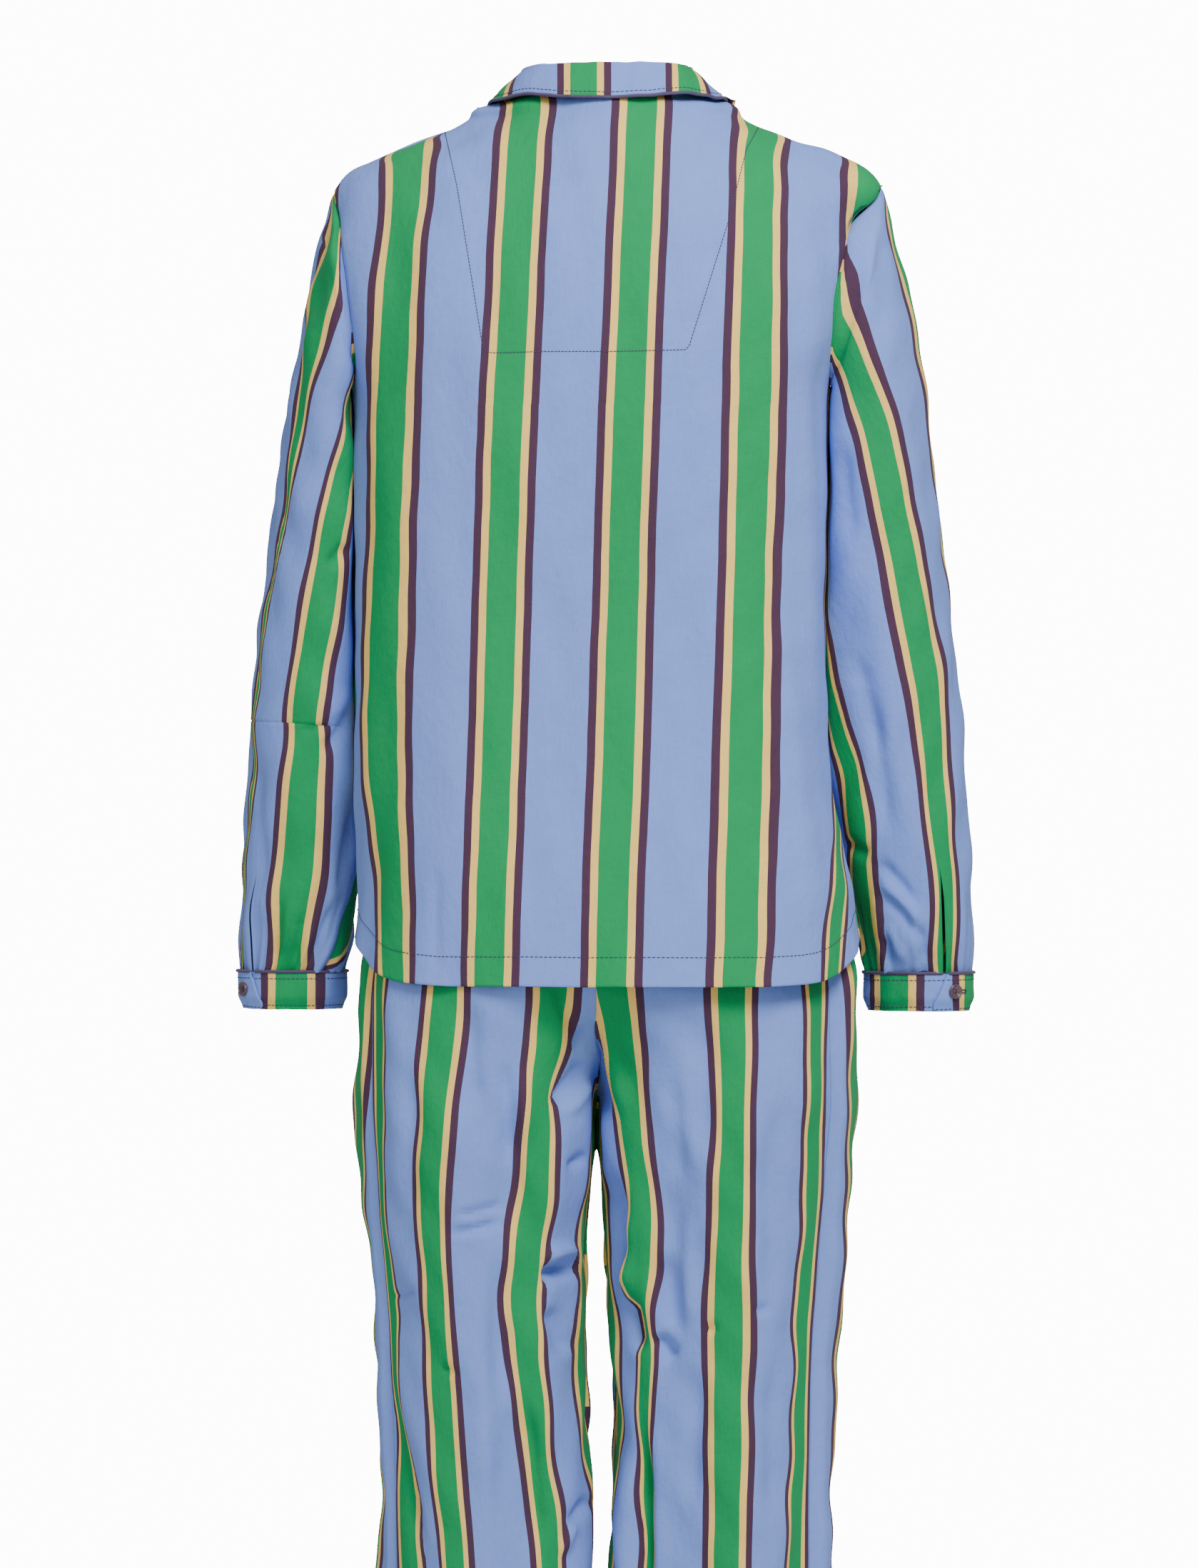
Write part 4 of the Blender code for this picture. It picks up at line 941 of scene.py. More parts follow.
def stripe_cloth():
    """Yarn-dyed poplin: plum, cream and green stripes on blue, a fine weave and uneven yarn."""
    n = Nodes("stripe_cloth")
    across, along = n.grain()
    sway = n.map(n.cloth_noise(8.0, 22.0), 0.0, 1.0, -0.0006, 0.0006)
    swayed = n.math("ADD", across, sway)
    place = n.math("FRACT", n.math("ADD", n.math("DIVIDE", swayed, STRIPE_REPEAT), 0.5))
    ramp = n.add("ShaderNodeValToRGB", place)
    ramp.color_ramp.interpolation = "CONSTANT"
    elements = ramp.color_ramp.elements
    elements.remove(elements[1])
    elements[0].color = BLUE
    inner, middle, outer = (
        half / STRIPE_REPEAT for half in (GREEN_HALF, GREEN_HALF + CREAM_WIDTH, STRIPE_HALF)
    )
    for step, colour in ((-outer, PLUM), (-middle, CREAM), (-inner, GREEN),
                         (inner, CREAM), (middle, PLUM), (outer, BLUE)):
        elements.new(0.5 + step).color = colour
    warp = n.cloth_noise(2600.0, 45.0, 2.0, 0.6)
    weft = n.cloth_noise(45.0, 2600.0, 2.0, 0.6)
    mottle = n.cloth_noise(60.0, 60.0, 3.0)
    yarn = n.math("ADD", n.map(warp, 0.2, 0.8, -0.07, 0.07), n.map(weft, 0.2, 0.8, -0.045, 0.045))
    value = n.math("ADD", n.math("ADD", 1.0, yarn), n.map(mottle, 0.2, 0.8, -0.03, 0.03))
    n.set(Base_Color=n.shade(ramp.outputs[0], value), Roughness=0.84)
    n.set(Sheen_Weight=0.05, Sheen_Roughness=0.4, Specular_IOR_Level=0.2)
    up, side = (
        n.math("SINE", n.math("MULTIPLY", way, 2 * math.pi / WEAVE)) for way in (across, along)
    )
    weave = n.math("ADD", n.math("MULTIPLY", up, side), n.map(warp, 0.0, 1.0, -1.2, 1.2))
    soft = n.relief(n.cloth_noise(160.0, 110.0, 4.0, 0.55), 0.0016, 0.55)
    n.set(Normal=n.relief(weave, 0.00006, 0.7, Normal=soft))
    return n.material


def piping_cloth():
    """Satin piping: plum, with slanting ribs along the cord, and painted shade in the grooves
    between them.
    """
    n = Nodes("piping")
    across, along = n.grain()
    slant = n.math("ADD", n.math("MULTIPLY", across, 0.8), along)
    rib = n.math("SINE", n.math("MULTIPLY", slant, 2 * math.pi / PIPING_RIB))
    fade = n.cloth_noise(80.0, 120.0, 3.0)
    # Painted shade and light: the rib wave that raises the bump also darkens the colour in the
    # grooves and lightens it on the ribs' tops; the fade noise is random tone.
    value = n.math("ADD", n.map(rib, -1.0, 1.0, 0.9, 1.1), n.map(fade, 0.2, 0.8, -0.15, 0.15))
    n.set(Base_Color=n.shade((0.070, 0.045, 0.120), value), Roughness=0.55, Sheen_Weight=0.1)
    n.set(Normal=n.relief(rib, 0.00012, 0.6))
    return n.material


def button_plastic():
    """Polished plastic in dark plum brown, faintly clouded."""
    n = Nodes("button")
    cloud = n.noise(n.place(), 260.0, 4.0, 0.6)
    colour = n.shade((0.095, 0.052, 0.066), n.map(cloud, 0.3, 0.7, 0.75, 1.35))
    n.set(Base_Color=colour, Roughness=n.map(cloud, 0.0, 1.0, 0.24, 0.36))
    n.set(Coat_Weight=0.25, Coat_Roughness=0.15)
    return n.material


def thread():
    """Twisted sewing thread; the twist runs across it."""
    n = Nodes("thread")
    ply = n.noise(n.place(), 3000.0)
    n.set(Base_Color=n.shade((0.055, 0.050, 0.105), n.map(ply, 0.2, 0.8, 0.8, 1.25)))
    n.set(Roughness=0.7, Normal=n.relief(ply, 0.0001, 0.5))
    return n.material


def paper():
    """A matt pale floor, very slightly uneven."""
    n = Nodes("paper")
    tone = n.map(n.noise(n.place(), 3.0, 3.0), 0.0, 1.0, 0.98, 1.02)
    n.set(Base_Color=n.shade((0.86, 0.86, 0.85), tone), Roughness=0.9)
    return n.material


STRIPES = stripe_cloth()
PIPING = piping_cloth()
BUTTON = button_plastic()
THREAD = thread()


# --- The shirt's panels -----------------------------------------------
SHIRT_ROWS = np.linspace(0, 1, SIDE_STEPS + ARMHOLE_STEPS + SHOULDER_STEPS + 1)
# Creases as the camera sees them: from x1, z1 to x2, z2, with their half width, how far they
# stand up and how far they bow.
BACK_CREASES = (
    # x1,     z1,   x2,    z2, half,  up, bow
    (1285, -5560, 1300, -6600,   40, -21,   0),
)
# The line that sews down the facing inside the back of the neck.
FACING = (
    (0.1225, -0.0100), (0.1134, -0.0508), (0.0945, -0.1690), (0.0918, -0.1765), (0.0864, -0.1780),
    (0.0491, -0.1768), (-0.0022, -0.1768), (-0.0600, -0.1755), (-0.0626, -0.1722),
    (-0.0918, -0.0794), (-0.1058, -0.0238), (-0.1156, -0.0059),
)


def side_edge(v, sign):
    """Angle and height up the back's edge on a side, from the hem round the armhole to the neck."""
    z = np.interp(v, SHIRT_ROWS, side_heights())
    angle = side_angle(z, sign)
    return (angle if sign > 0 else np.pi - angle), z


def upright(x, low, high, mark=0.0):
    """A straight line for grain."""
    return mark, ((low, x), (high, x))


def back_panel():
    points = body(*patch(
        lambda u: (np.pi * u, hem_height(np.pi * u)),
        lambda u: neckline(np.pi * u),
        lambda v: side_edge(v, 1.0),
        lambda v: side_edge(v, -1.0),
        spread(SHIRT_ROW_COUNT), spread(BACK_COLUMNS),
    ))
    across = grain(points, stripe_lines(BACK_STRIPES, BACK_MARKS))
    normal = grid_normals(points)
    relief = creases(points, normal, BACK_CREASES) + ripples(points, *UNEVEN["back"])
    points = points + normal * relief[..., None]
    points = valley(points, normal, ("first", "last"))
    normal = grid_normals(points)
    add_stitches("facing_stitches", *on_cloth(points, normal, FACING), length=0.0021, gap=0.0005)
    add_stitches("back_hem_stitches", *offset_line(points, normal, "bottom", HEM_DEPTH))
    cloth = tuck(tuck(sheet(points, across), "first"), "last")
    cloth = fold_in(cloth, "bottom", HEM_DEPTH)
    made = add_cloth("back_cloth", cloth, ["shirt_back"], STRIPES)


def front_panel(name, sign, inner_x, under):
    """A front, from its side seam to its edge just past the middle."""
    inner = body_angle(np.array(inner_x), np.array(CHEST), False)
    side_line = 0.0 if sign > 0 else -np.pi

    def top(u):
        angle, z = neckline(-u * np.pi / 2)
        return (angle if sign > 0 else -np.pi - angle), z

    def outer_edge(v):
        angle, z = side_edge(v, sign)
        return -angle, z

    def inner_edge(v):
        armpit_row = SIDE_STEPS / (len(SHIRT_ROWS) - 1)
        levels = (float(hem_height(inner)), EDGE_LEVEL, NECK_SIDE - NECK_FRONT_DROP)
        z = np.interp(v, (0.0, armpit_row, 1.0), levels)
        share = ease((z - NECK_SWING) / (NECK_SWING_TOP - NECK_SWING))
        return (1 - share) * inner + share * (-np.pi / 2), z

    def bottom(u):
        angle = (1 - u) * side_line + u * inner
        return angle, hem_height(angle)

    rows, columns = spread(SHIRT_ROW_COUNT), spread(FRONT_COLUMNS)
    points = body(*patch(bottom, top, outer_edge, inner_edge, rows, columns))
    points[..., 1] += under * ease((PLACKET_REACH - np.abs(points[..., 0])) / PLACKET_SOFT)
    if sign > 0:
        points = points[:, ::-1]
    across = grain(points, [upright(sign * SHIRT_LINE, -0.70, 0.02)], front=True)
    normal = grid_normals(points)
    points = points + normal * ripples(points, *UNEVEN[name])[..., None]
    seam, edge = ("last", "first") if sign > 0 else ("first", "last")
    points = valley(points, normal, (seam,))
    normal = grid_normals(points)
    seams = [("bottom", HEM_DEPTH), *((edge, distance) for distance in FACING_STITCHES)]
    for index, place in enumerate(seams, 1):
        add_stitches(f"{name}_stitches_{index}", *offset_line(points, normal, *place))
    cloth = fold_in(tuck(sheet(points, across), seam), edge, FACING_WIDTH)
    cloth = fold_in(cloth, "bottom", HEM_DEPTH)
    made = add_cloth(f"{name}_cloth", cloth, [f"shirt_{name}"], STRIPES)


# --- Sleeves ----------------------------------------------------------
LEFT_SLEEVE_CREASES = (
    # x1,     z1,   x2,    z2, half,  up, bow
    (1960, -3220, 2120, -3420,   50, -40,   0),
    (1890, -4430, 2160, -4830,   50, -45,  20),
    (1930, -4280, 2080, -4560,   50,  26,   0),
    (1880, -5200, 2060, -5900,   55, -50,  20),
    (2000, -5500, 2180, -6400,   45,  30,   0),
    (2060, -5900, 2240, -6440,   35, -34,   0),
    (2300, -5980, 2360, -6440,   30, -24,   0),
    (2480, -5800, 2500, -6440,   30, -22,   0),
    (2660, -4700, 2600, -6000,   50, -26,   0),
    (2340, -4640, 2040, -4600,   30, -20,   0),
)
RIGHT_SLEEVE_CREASES = (
    # x1,      z1,    x2,    z2, half,  up, bow
    (-1860, -4000, -2060, -4900,   80, -44,  20),
    (-1976, -4300, -2120, -5500,   70, -50,  20),
    (-1780, -5460, -2010, -5600,   50, -40,   0),
    (-2020, -5600, -2360, -6000,   45, -42,  20),
    (-2040, -5740, -2400, -6140,   40,  34,  20),
    (-2040, -5850, -2420, -6280,   45, -40,  20),
    (-2100, -6060, -2260, -6420,   35,  30,   0),
    (-2080, -6180, -2140, -6430,   30, -30,   0),
    (-2360, -6100, -2420, -6430,   30, -26,   0),
    (-2240, -3000, -2500, -3900,   70, -22,   0),
    (-1760, -2400, -1860, -3300,   70, -40,   0),
)
LEFT_SEAM = ((-0.140, 180.0), (-0.205, 180.0), (-0.550, 168.0), (-0.610, 150.0), (-0.648, 128.0))
RIGHT_SEAM = ((-0.140, 180.0), (-0.205, 180.0), (-0.648, 180.0))
CROSS_SEAM = -0.4590
CROSS_SEAM_RISE, CROSS_SEAM_SOFT = 0.0032, 0.05  # to its ends, and how that dies out
CROSS_SEAM_ROWS = np.array([-0.0010, -0.0002, 0.0002, 0.0010])  # of points beside it
CROSS_SEAM_CLEAR = 0.0018  # from it to the sleeve's other rows
CROSS_SEAM_HALF, CROSS_SEAM_DEPTH = 0.0004, 0.0005
CROSS_SHIFT = 0.0022  # of the stripes below it
HEAD_LENGTH = 0.080  # down from the armhole, over which the front's stripes run straight
HEAD_LOW = 0.240  # the sleeve's axis is taken from here to there
HEAD_START, HEAD_SOFT = 0.05, 0.35  # of the sine of the angle from the shoulder's tip forward
SLEEVE_LOOKS = {
    "left": (LEFT_SEAM, LEFT_SLEEVE_STRIPES, stripe_marks(
        (-1, -PLUM_MIDDLE), (-1, 0.0), (-1, PLUM_MIDDLE), (0, -PLUM_MIDDLE), (0, PLUM_MIDDLE),
    ), LEFT_SLEEVE_CREASES),
    "right": (RIGHT_SEAM, RIGHT_SLEEVE_STRIPES, stripe_marks(
        (1, -PLUM_MIDDLE), (0, PLUM_MIDDLE), (0, -PLUM_MIDDLE), (-1, PLUM_MIDDLE),
        (-1, -PLUM_MIDDLE),
    ), RIGHT_SLEEVE_CREASES),
}


def clear_of_body(points, sign):
    """Pushes points below the armpit out sideways until they are clear of the shirt body."""
    x, y, z = points[..., 0], points[..., 1], points[..., 2]
    width, back, front, square = body_size(z, np.full_like(z, sign))
    own_y = y + SHIRT_TURN * x
    depth = np.where(own_y > 0, back, front)
    share = np.clip(np.abs(own_y) / depth, 0, 1)
    edge = width * (1 - share**square) ** (1 / square) + BODY_CLEARANCE
    edge = np.where(np.abs(own_y) < depth, edge, 0.0)
    reach = sign * x
    blend = np.clip((reach - edge) / BODY_CLEARANCE_SOFT, -1, 1)
    pushed = np.where(blend < 1, edge + BODY_CLEARANCE_SOFT * (blend + 1) ** 2 / 4, reach)
    below = z < ARMPIT + BODY_CLEARANCE
    moved = points.copy()
    moved[..., 0] = sign * np.where(below, np.maximum(pushed, reach), reach)
    return moved


def sleeve_turns(z, slit, seam, count):
    """Angles round the sleeve at a height, from its seam round to its seam, a pair at the slit."""
    seam_at = float(column(seam, 1, z))
    first = int(round(count * (slit + 180) / 360))
    before = np.linspace(seam_at - 360, slit, first + 1)
    after = np.linspace(slit, seam_at, count - first + 1)
    return np.radians(np.concatenate([before, after])), first


def sleeve_ring(row, turn, sign, reach, tuck_in, index):
    """A ring of the sleeve from the table, at the given angles."""
    out_x, out_z, in_x, in_z, middle, half = row
    share = (1 + np.cos(turn)) / 2
    in_x = in_x + tuck_in * ease((in_z - TUCK_END) / TUCK_SOFT)
    cap = max(0.0, 1 - index / CAP_RINGS)
    narrow = CAP_NARROWING * cap * np.maximum(np.cos(turn), 0) ** CAP_RIDGE
    x = in_x + (out_x - in_x) * share
    z = in_z + (out_z - in_z) * share
    y = middle + half * power(np.sin(turn), SLEEVE_SQUARE + narrow)
    x = x + reach * ease((ARMPIT / 2 - z) / REACH_SOFT)
    return turned(stack(sign * x, y, z), SHIRT_TURN)


def armhole_loop(turn, sign):
    """The armhole's edge: turn 0 is the shoulder's tip, 90 degrees the back."""
    z = armhole_height(turn)
    angle = side_angle(z, sign) * np.sign(np.sin(turn))
    return body(angle if sign > 0 else np.pi - angle, z)


def straight_head(points, across, rows, turn, sign):
    """Carries the stripes of a sleeve's front up into the armhole.

    They follow the left sleeve's length, and are straight from in front on the right one.
    """
    held, low = (int(np.argmin(np.abs(rows - length))) for length in (HEAD_LENGTH, HEAD_LOW))
    axis = points[held].mean(axis=0) - points[low].mean(axis=0)
    side = points[..., 0] - points[..., 2] * axis[0] / axis[2]
    front = np.sin(turn) < 0
    order = np.argsort(side[held][front])
    places, values = side[held][front][order], across[held][front][order]
    beyond = np.minimum(side - places[0], 0) + np.maximum(side - places[-1], 0)
    straight = np.interp(side, places, values) + np.sign(values[-1] - values[0]) * beyond
    straight = straight if sign < 0 else across[held]
    hidden = ease((-np.sin(turn) - HEAD_START) / HEAD_SOFT) * (rows < HEAD_LENGTH)[:, None]
    return across + hidden * (straight - across)


def sleeve(name, sign, slit, reach, tuck_in, seam, table, marks, folds):
    """A tube from the armhole to the cuff, open along its slit, gathered into the cuff."""
    rings = []
    for index, row in enumerate(SLEEVE):
        turn, slit_column = sleeve_turns((row[1] + row[3]) / 2, slit, seam, SLEEVE_COLUMNS)
        rings.append(sleeve_ring(row, turn, sign, reach, tuck_in, index))
    turn, _ = sleeve_turns(ARMPIT, slit, seam, SLEEVE_COLUMNS)
    start = armhole_loop(turn, sign)
    start = start + ARMHOLE_INSIDE * unit(start.mean(axis=0) - start)
    rings = np.array([start, start + (rings[0] - start) * ARMHOLE_RING, *rings])
    keys = mean_run(rings)
    rows = keys[-1] * (1 - spread(SLEEVE_ROWS))
    at = np.repeat(rows[:, None], len(turn), axis=1)
    if sign > 0:
        cross = float(np.interp(-CROSS_SEAM, -rings[:, :, 2].mean(axis=1), keys))
        near = np.abs(rows - cross) <= CROSS_SEAM_CLEAR
        rows = np.sort(np.concatenate([rows[~near], cross + CROSS_SEAM_ROWS]))[::-1]
        at = np.repeat(rows[:, None], len(turn), axis=1)
        at = at - CROSS_SEAM_RISE * np.cos(turn) * bump((at - cross) / CROSS_SEAM_SOFT)
    points = smooth(keys, rings, at, np.broadcast_to(np.arange(len(turn)), at.shape))
    points = clear_of_body(points, sign)
    if sign < 0:
        points = points[:, ::-1]
        turn = turn[::-1]
        slit_column = len(turn) - 2 - slit_column
    across = grain(points, stripe_lines(table, marks))
    across = straight_head(points, across, rows, turn, sign)
    if sign > 0:
        across = across + CROSS_SHIFT * (rows < cross)[:, None]
    normal = grid_normals(points)
    z = points[..., 2]
    gather = ease((GATHER_TOP - z) / GATHER_SOFT)
    wave = sum(height * np.cos(count * turn + phase) for height, count, phase in GATHERS)
    relief = creases(points, normal, folds) + ripples(points, *UNEVEN[f"sleeve_{name}"])
    relief += gather * GATHER_HEIGHT * wave - gather * GATHER_SINK
    relief *= ease(rows / ARMHOLE_PLAIN)[:, None]
    points = points + normal * relief[..., None]
    points = valley(points, normal, ("first", "last", "top"), ARMHOLE_VALLEY)
    if sign > 0:
        groove = CROSS_SEAM_DEPTH * (np.abs(rows - cross) < CROSS_SEAM_HALF)
        points -= normal * groove[:, None, None]
    points = clear_of_body(points, sign)
    share = ease((SLIT_TOP - z[:, slit_column]) / SLIT_SOFT)
    along = unit(points[:, slit_column + 2] - points[:, slit_column - 1])
    apart = along * (share * SLIT_HALF[name])[:, None]
    points[:, slit_column] -= apart
    points[:, slit_column + 1] += apart
    cut = np.zeros((len(rows) - 1, len(turn) - 1), bool)
    cut[:, slit_column] = True
    cloth = tuck(tuck(sheet(points, across), "first", SLEEVE_TUCK), "last", SLEEVE_TUCK)
    head = cloth[0][-1]
    inward = unit((head.mean(axis=0) - head) * (0.0, 1.0, 1.0))
    cloth = tuck(cloth, "top", SEAM_TUCK, unit(inward * TUCK_SLANT - (sign, 0.0, 0.0)))
    cut = np.pad(cut, ((0, 1), (1, 1)))
    nodes = ["sleeve_left", "sleeve_left_forearm"] if sign > 0 else ["sleeve_right"]
    made = add_cloth(f"sleeve_{name}_cloth", cloth, nodes, STRIPES, cut=cut, weld=WELD)


# --- Cuffs ------------------------------------------------------------
CUFF_STRIPES = {
    # distance across the stripes, and where in X it is seen
    "left": ((-PLUM_MIDDLE, 0.2595), (PLUM_MIDDLE, 0.2174), (1.5 * STRIPE_REPEAT, 0.2720)),
    "right": (
        (-PLUM_MIDDLE, -0.2006),
        (PLUM_MIDDLE, -0.2371),
        (-2 * STRIPE_REPEAT - GREEN_HALF - CREAM_WIDTH / 2, -0.2687),
    ),
}
CUFF_COLUMNS, CUFF_ROWS = 170, 20
CUFF_TUCK_FROM = 0.62  # of the cuff's height, from its top, where its lower part starts to narrow
CUFF_GAP = 0.0009  # between a cuff's two layers
CUFF_END = 0.006  # how far its lapping end is turned in
CUFF_INNER = 0.9  # of its height, which the inner layer covers
CUFF_PIPING_OUT, CUFF_PIPING_UP = 0.0002, 0.0004  # from the cuff's upper edge
CUFF_STITCHES = (("bottom", 0.0035), ("top", 0.0050))
BUTTONHOLE = (2.0, -17.0)  # from the button's middle, in degrees round the cuff
BUTTONHOLE_POINTS = 24  # along each of its sides
BUTTONHOLE_OUT, BUTTONHOLE_HALF, BUTTONHOLE_THREAD = 0.0004, 0.0011, 0.00055
CORNER = 0.006  # radius of the corner where the cuff laps over itself


def cuff_outline(turn, z, lift):
    """Points on the cuff's outside for the left sleeve, lifted out a little."""
    low = np.clip((CUFF_TOP - z) / CUFF_HEIGHT, 0, 1)
    tuck_in = CUFF_BOTTOM_TUCK * ease((low - CUFF_TUCK_FROM) / (1 - CUFF_TUCK_FROM))
    x = CUFF_MIDDLE[0] + (CUFF_HALF_WIDTH - tuck_in + lift) * np.cos(turn)
    y = CUFF_MIDDLE[1] + (CUFF_HALF_DEPTH - tuck_in + lift) * np.sin(turn)
    return stack(x, y, z)


def cuff(name, sign, edge_top, edge_low, button, reach):
    """A doubled strip that laps over itself, with its piping, button and buttonhole."""
    start = edge_top - CUFF_OVERLAP

    def strip(degrees, z):
        lift = (degrees - start) / 360 * (WALL + CUFF_LAYER)
        points = cuff_outline(np.radians(degrees), z, lift)
        points[..., 0] = sign * (points[..., 0] + reach)
        return turned(points, SHIRT_TURN)

    def by_button(step):
        height = np.array(CUFF_TOP - CUFF_HEIGHT * CUFF_BUTTON_AT)
        return strip(np.array(360 + button + step), height)

    share, level = np.meshgrid(spread(CUFF_COLUMNS), 1 - spread(CUFF_ROWS))
    end = 360 + edge_top + (edge_low - edge_top) * level
    above = np.minimum(CUFF_HEIGHT * (1 - level), CORNER)
    rounding = CORNER - np.sqrt(CORNER**2 - (CORNER - above) ** 2)
    end -= np.degrees(rounding / CUFF_HALF_WIDTH)
    degrees = start + (end - start) * share
    points = strip(degrees, CUFF_TOP - CUFF_HEIGHT * level)
    if sign < 0:
        points, degrees = points[:, ::-1], degrees[:, ::-1]
    across = grain(points, [upright(x, -0.70, -0.60, mark) for mark, x in CUFF_STRIPES[name]])
    normal = grid_normals(points)
    points = points + normal * ripples(points, *UNEVEN[f"cuff_{name}"])[..., None]
    cloth = fold_in(sheet(points, across), "last" if sign > 0 else "first", CUFF_END, CUFF_GAP)
    cloth = fold_in(cloth, "bottom", CUFF_HEIGHT * CUFF_INNER, CUFF_GAP)
    made = add_cloth(f"cuff_{name}_cloth", cloth, [f"cuff_{name}"], STRIPES)

    piping = f"cuff_{name}_piping"
    path = points[-1] + normal[-1] * CUFF_PIPING_OUT
    path[:, 2] += CUFF_PIPING_UP
    outer_layer = degrees[-1] > edge_top + 2
    add_cord(piping + "_cord", path[outer_layer], PIPING_RADIUS, [piping], PIPING)
    for edge, distance in CUFF_STITCHES:
        line = offset_line(points, normal, edge, distance)
        add_stitches(f"cuff_{name}_stitches_{len(bpy.data.objects)}", *line)

    way = unit(by_button(2.0) - by_button(0.0))
    out = sign * unit(np.array([way[1], -way[0], 0.0]))
    add_button(f"cuff_{name}_button", by_button(0.0), out)
    hole = np.array([by_button(step) for step in np.linspace(*BUTTONHOLE, BUTTONHOLE_POINTS)])
    hole = hole + out * BUTTONHOLE_OUT
    up = np.array([0.0, 0.0, BUTTONHOLE_HALF])
    ring = np.concatenate([hole + up, hole[::-1] - up, hole[:1] + up])
    hole = f"cuff_{name}_buttonhole"
    add_cord(hole, ring, BUTTONHOLE_THREAD, [], THREAD, sides=6)


# --- Cords, stitches and buttons --------------------------------------
def add_cord(name, path, radius, nodes, material, sides=10):
    """A round cord along a path, its ends rounded off."""
    path = np.asarray(path)
    along = unit(np.gradient(path, axis=0))
    first = unit(np.cross(along, (0.0, 0.0, 1.0)) + 1e-6)
    second = np.cross(along, first)
    size = np.full(len(path), radius)
    size[[0, -1]] *= CORD_END
    size[[1, -2]] *= CORD_NEXT
    around = np.linspace(0, 2 * math.pi, sides + 1)
    rim = np.cos(around)[:, None] * first[:, None] + np.sin(around)[:, None] * second[:, None]
    points = path[:, None] + rim * size[:, None, None]
    along_grid = np.repeat(run_along(path)[:, None], sides + 1, axis=1)
    across_grid = np.repeat((around * radius)[None], len(path), axis=0)
    cloth = (points, rim, across_grid, along_grid)
    return add_cloth(name, cloth, nodes, material, weld=WELD)


def offset_line(points, normal, edge, distance):
    """A line on the cloth at a distance from one of its edges, with its normals."""
    points, normal = from_edge(edge, points, normal)
    rise = run_along(points)
    columns = range(points.shape[1])
    line = np.array([sample(distance, rise[:, c], points[:, c]) for c in columns])
    normals = normal[np.argmin(np.abs(rise - distance), axis=0), columns]
    return line + normals * STITCH_LIFT, normals


def on_cloth(points, normal, places):
    """Lays a line that is given on the picture plane onto the cloth behind it."""
    places = np.asarray(places, float)
    run = run_along(places)
    wanted = sample(np.arange(0.0, run[-1], 0.0015), run, places)
    x, z = (grid.ravel() for grid in seen(points))
    flat, normals = points.reshape(-1, 3), normal.reshape(-1, 3)
    faces = normals[:, 1] > 0.1
    x, z, flat, normals = x[faces], z[faces], flat[faces], normals[faces]
    line, out = [], []
    for want_x, want_z in wanted:
        near = int(np.argmin((x - want_x) ** 2 + (z - want_z) ** 2))
        scale = (EYE_DISTANCE - flat[near, 1]) / EYE_DISTANCE
        step_x, step_z = (want_x - x[near]) * scale, (want_z - z[near]) * scale
        n = normals[near]
        step_y = -(n[0] * step_x + n[2] * step_z) / n[1]
        line.append(flat[near] + (step_x, step_y, step_z) + n * STITCH_LIFT)
        out.append(n)
    return np.array(line), np.array(out)


def tube_faces(first, rings, around):
    """The faces between a tube's rings, whose points count on from the first."""
    return [
        (a + k, a + (k + 1) % around, a + around + (k + 1) % around, a + around + k)
        for a in range(first, first + (rings - 1) * around, around)
        for k in range(around)
    ]


def add_stitches(name, path, normals, length=0.0026, gap=0.0009, width=0.00070):
    """A row of machine stitches along a line on the cloth."""
    run = run_along(path)
    points, faces = [], []
    for start in np.arange(gap, run[-1] - length, length + gap):
        first = len(points)
        for share, size in STITCH:
            at = start + share * length
            place, out = sample(at, run, path), unit(sample(at, run, normals))
            side = unit(np.cross(out, sample(at + 1e-4, run, path) - place))
            for a in np.radians(range(0, 360, 360 // STITCH_SIDES)):
                offset = math.cos(a) * side * width / 2 + math.sin(a) * out * width * 0.4
                points.append(place + offset * size)
        last = len(points) - STITCH_SIDES
        faces += tube_faces(first, len(STITCH), STITCH_SIDES)
        faces.append(tuple(range(first + STITCH_SIDES - 1, first - 1, -1)))
        faces.append(tuple(range(last, len(points))))
    return piece(name, points, faces, THREAD, [])


def add_button(name, place, normal):
    """A turned button with a raised rim and four holes, and the thread that holds it."""
    turn = np.linspace(0, 2 * math.pi, BUTTON_SIDES, endpoint=False)
    rings = []
    for share, height in BUTTON_PROFILE:
        x, y = share * BUTTON_RADIUS * np.cos(turn), share * BUTTON_RADIUS * np.sin(turn)
        z = np.full(BUTTON_SIDES, height * BUTTON_THICKNESS)
        if height > 0.5:
            for hole in np.radians((45, 135, 225, 315)):
                hole_x, hole_y = BUTTON_HOLES * math.cos(hole), BUTTON_HOLES * math.sin(hole)
                away = np.hypot(x - hole_x, y - hole_y)
                z -= BUTTON_HOLE_DEPTH * ease((BUTTON_HOLE_RADIUS - away) / BUTTON_HOLE_SOFT)
        rings.append(np.stack([x, y, z], axis=-1))
    points = np.array(rings).reshape(-1, 3)
    faces = [(a, d, c, b) for a, b, c, d in tube_faces(0, len(rings), BUTTON_SIDES)]
    made = piece(name + "_disc", points, faces, BUTTON, [name], weld=WELD / 10)
    aim = np.asarray(normal, float)
    side = unit(np.cross((0.0, 0.0, 1.0), aim))
    up = np.cross(aim, side)
    clear = np.asarray(place) + aim * BUTTON_CLEAR
    matrix = Matrix.Translation(clear) @ Matrix((side, up, aim)).transposed().to_4x4()
    made.data.transform(matrix)
    axes = np.stack([side, up, aim])
    for index, level in enumerate((1, -1), 1):
        path = [
            clear + np.array([x, level * THREAD_APART, z + BUTTON_WELL * BUTTON_THICKNESS]) @ axes
            for x, z in THREAD_LOOP
        ]
        thread_name = f"{name}_thread_{index}"
        add_cord(thread_name, path, THREAD_RADIUS, [], THREAD, sides=6)


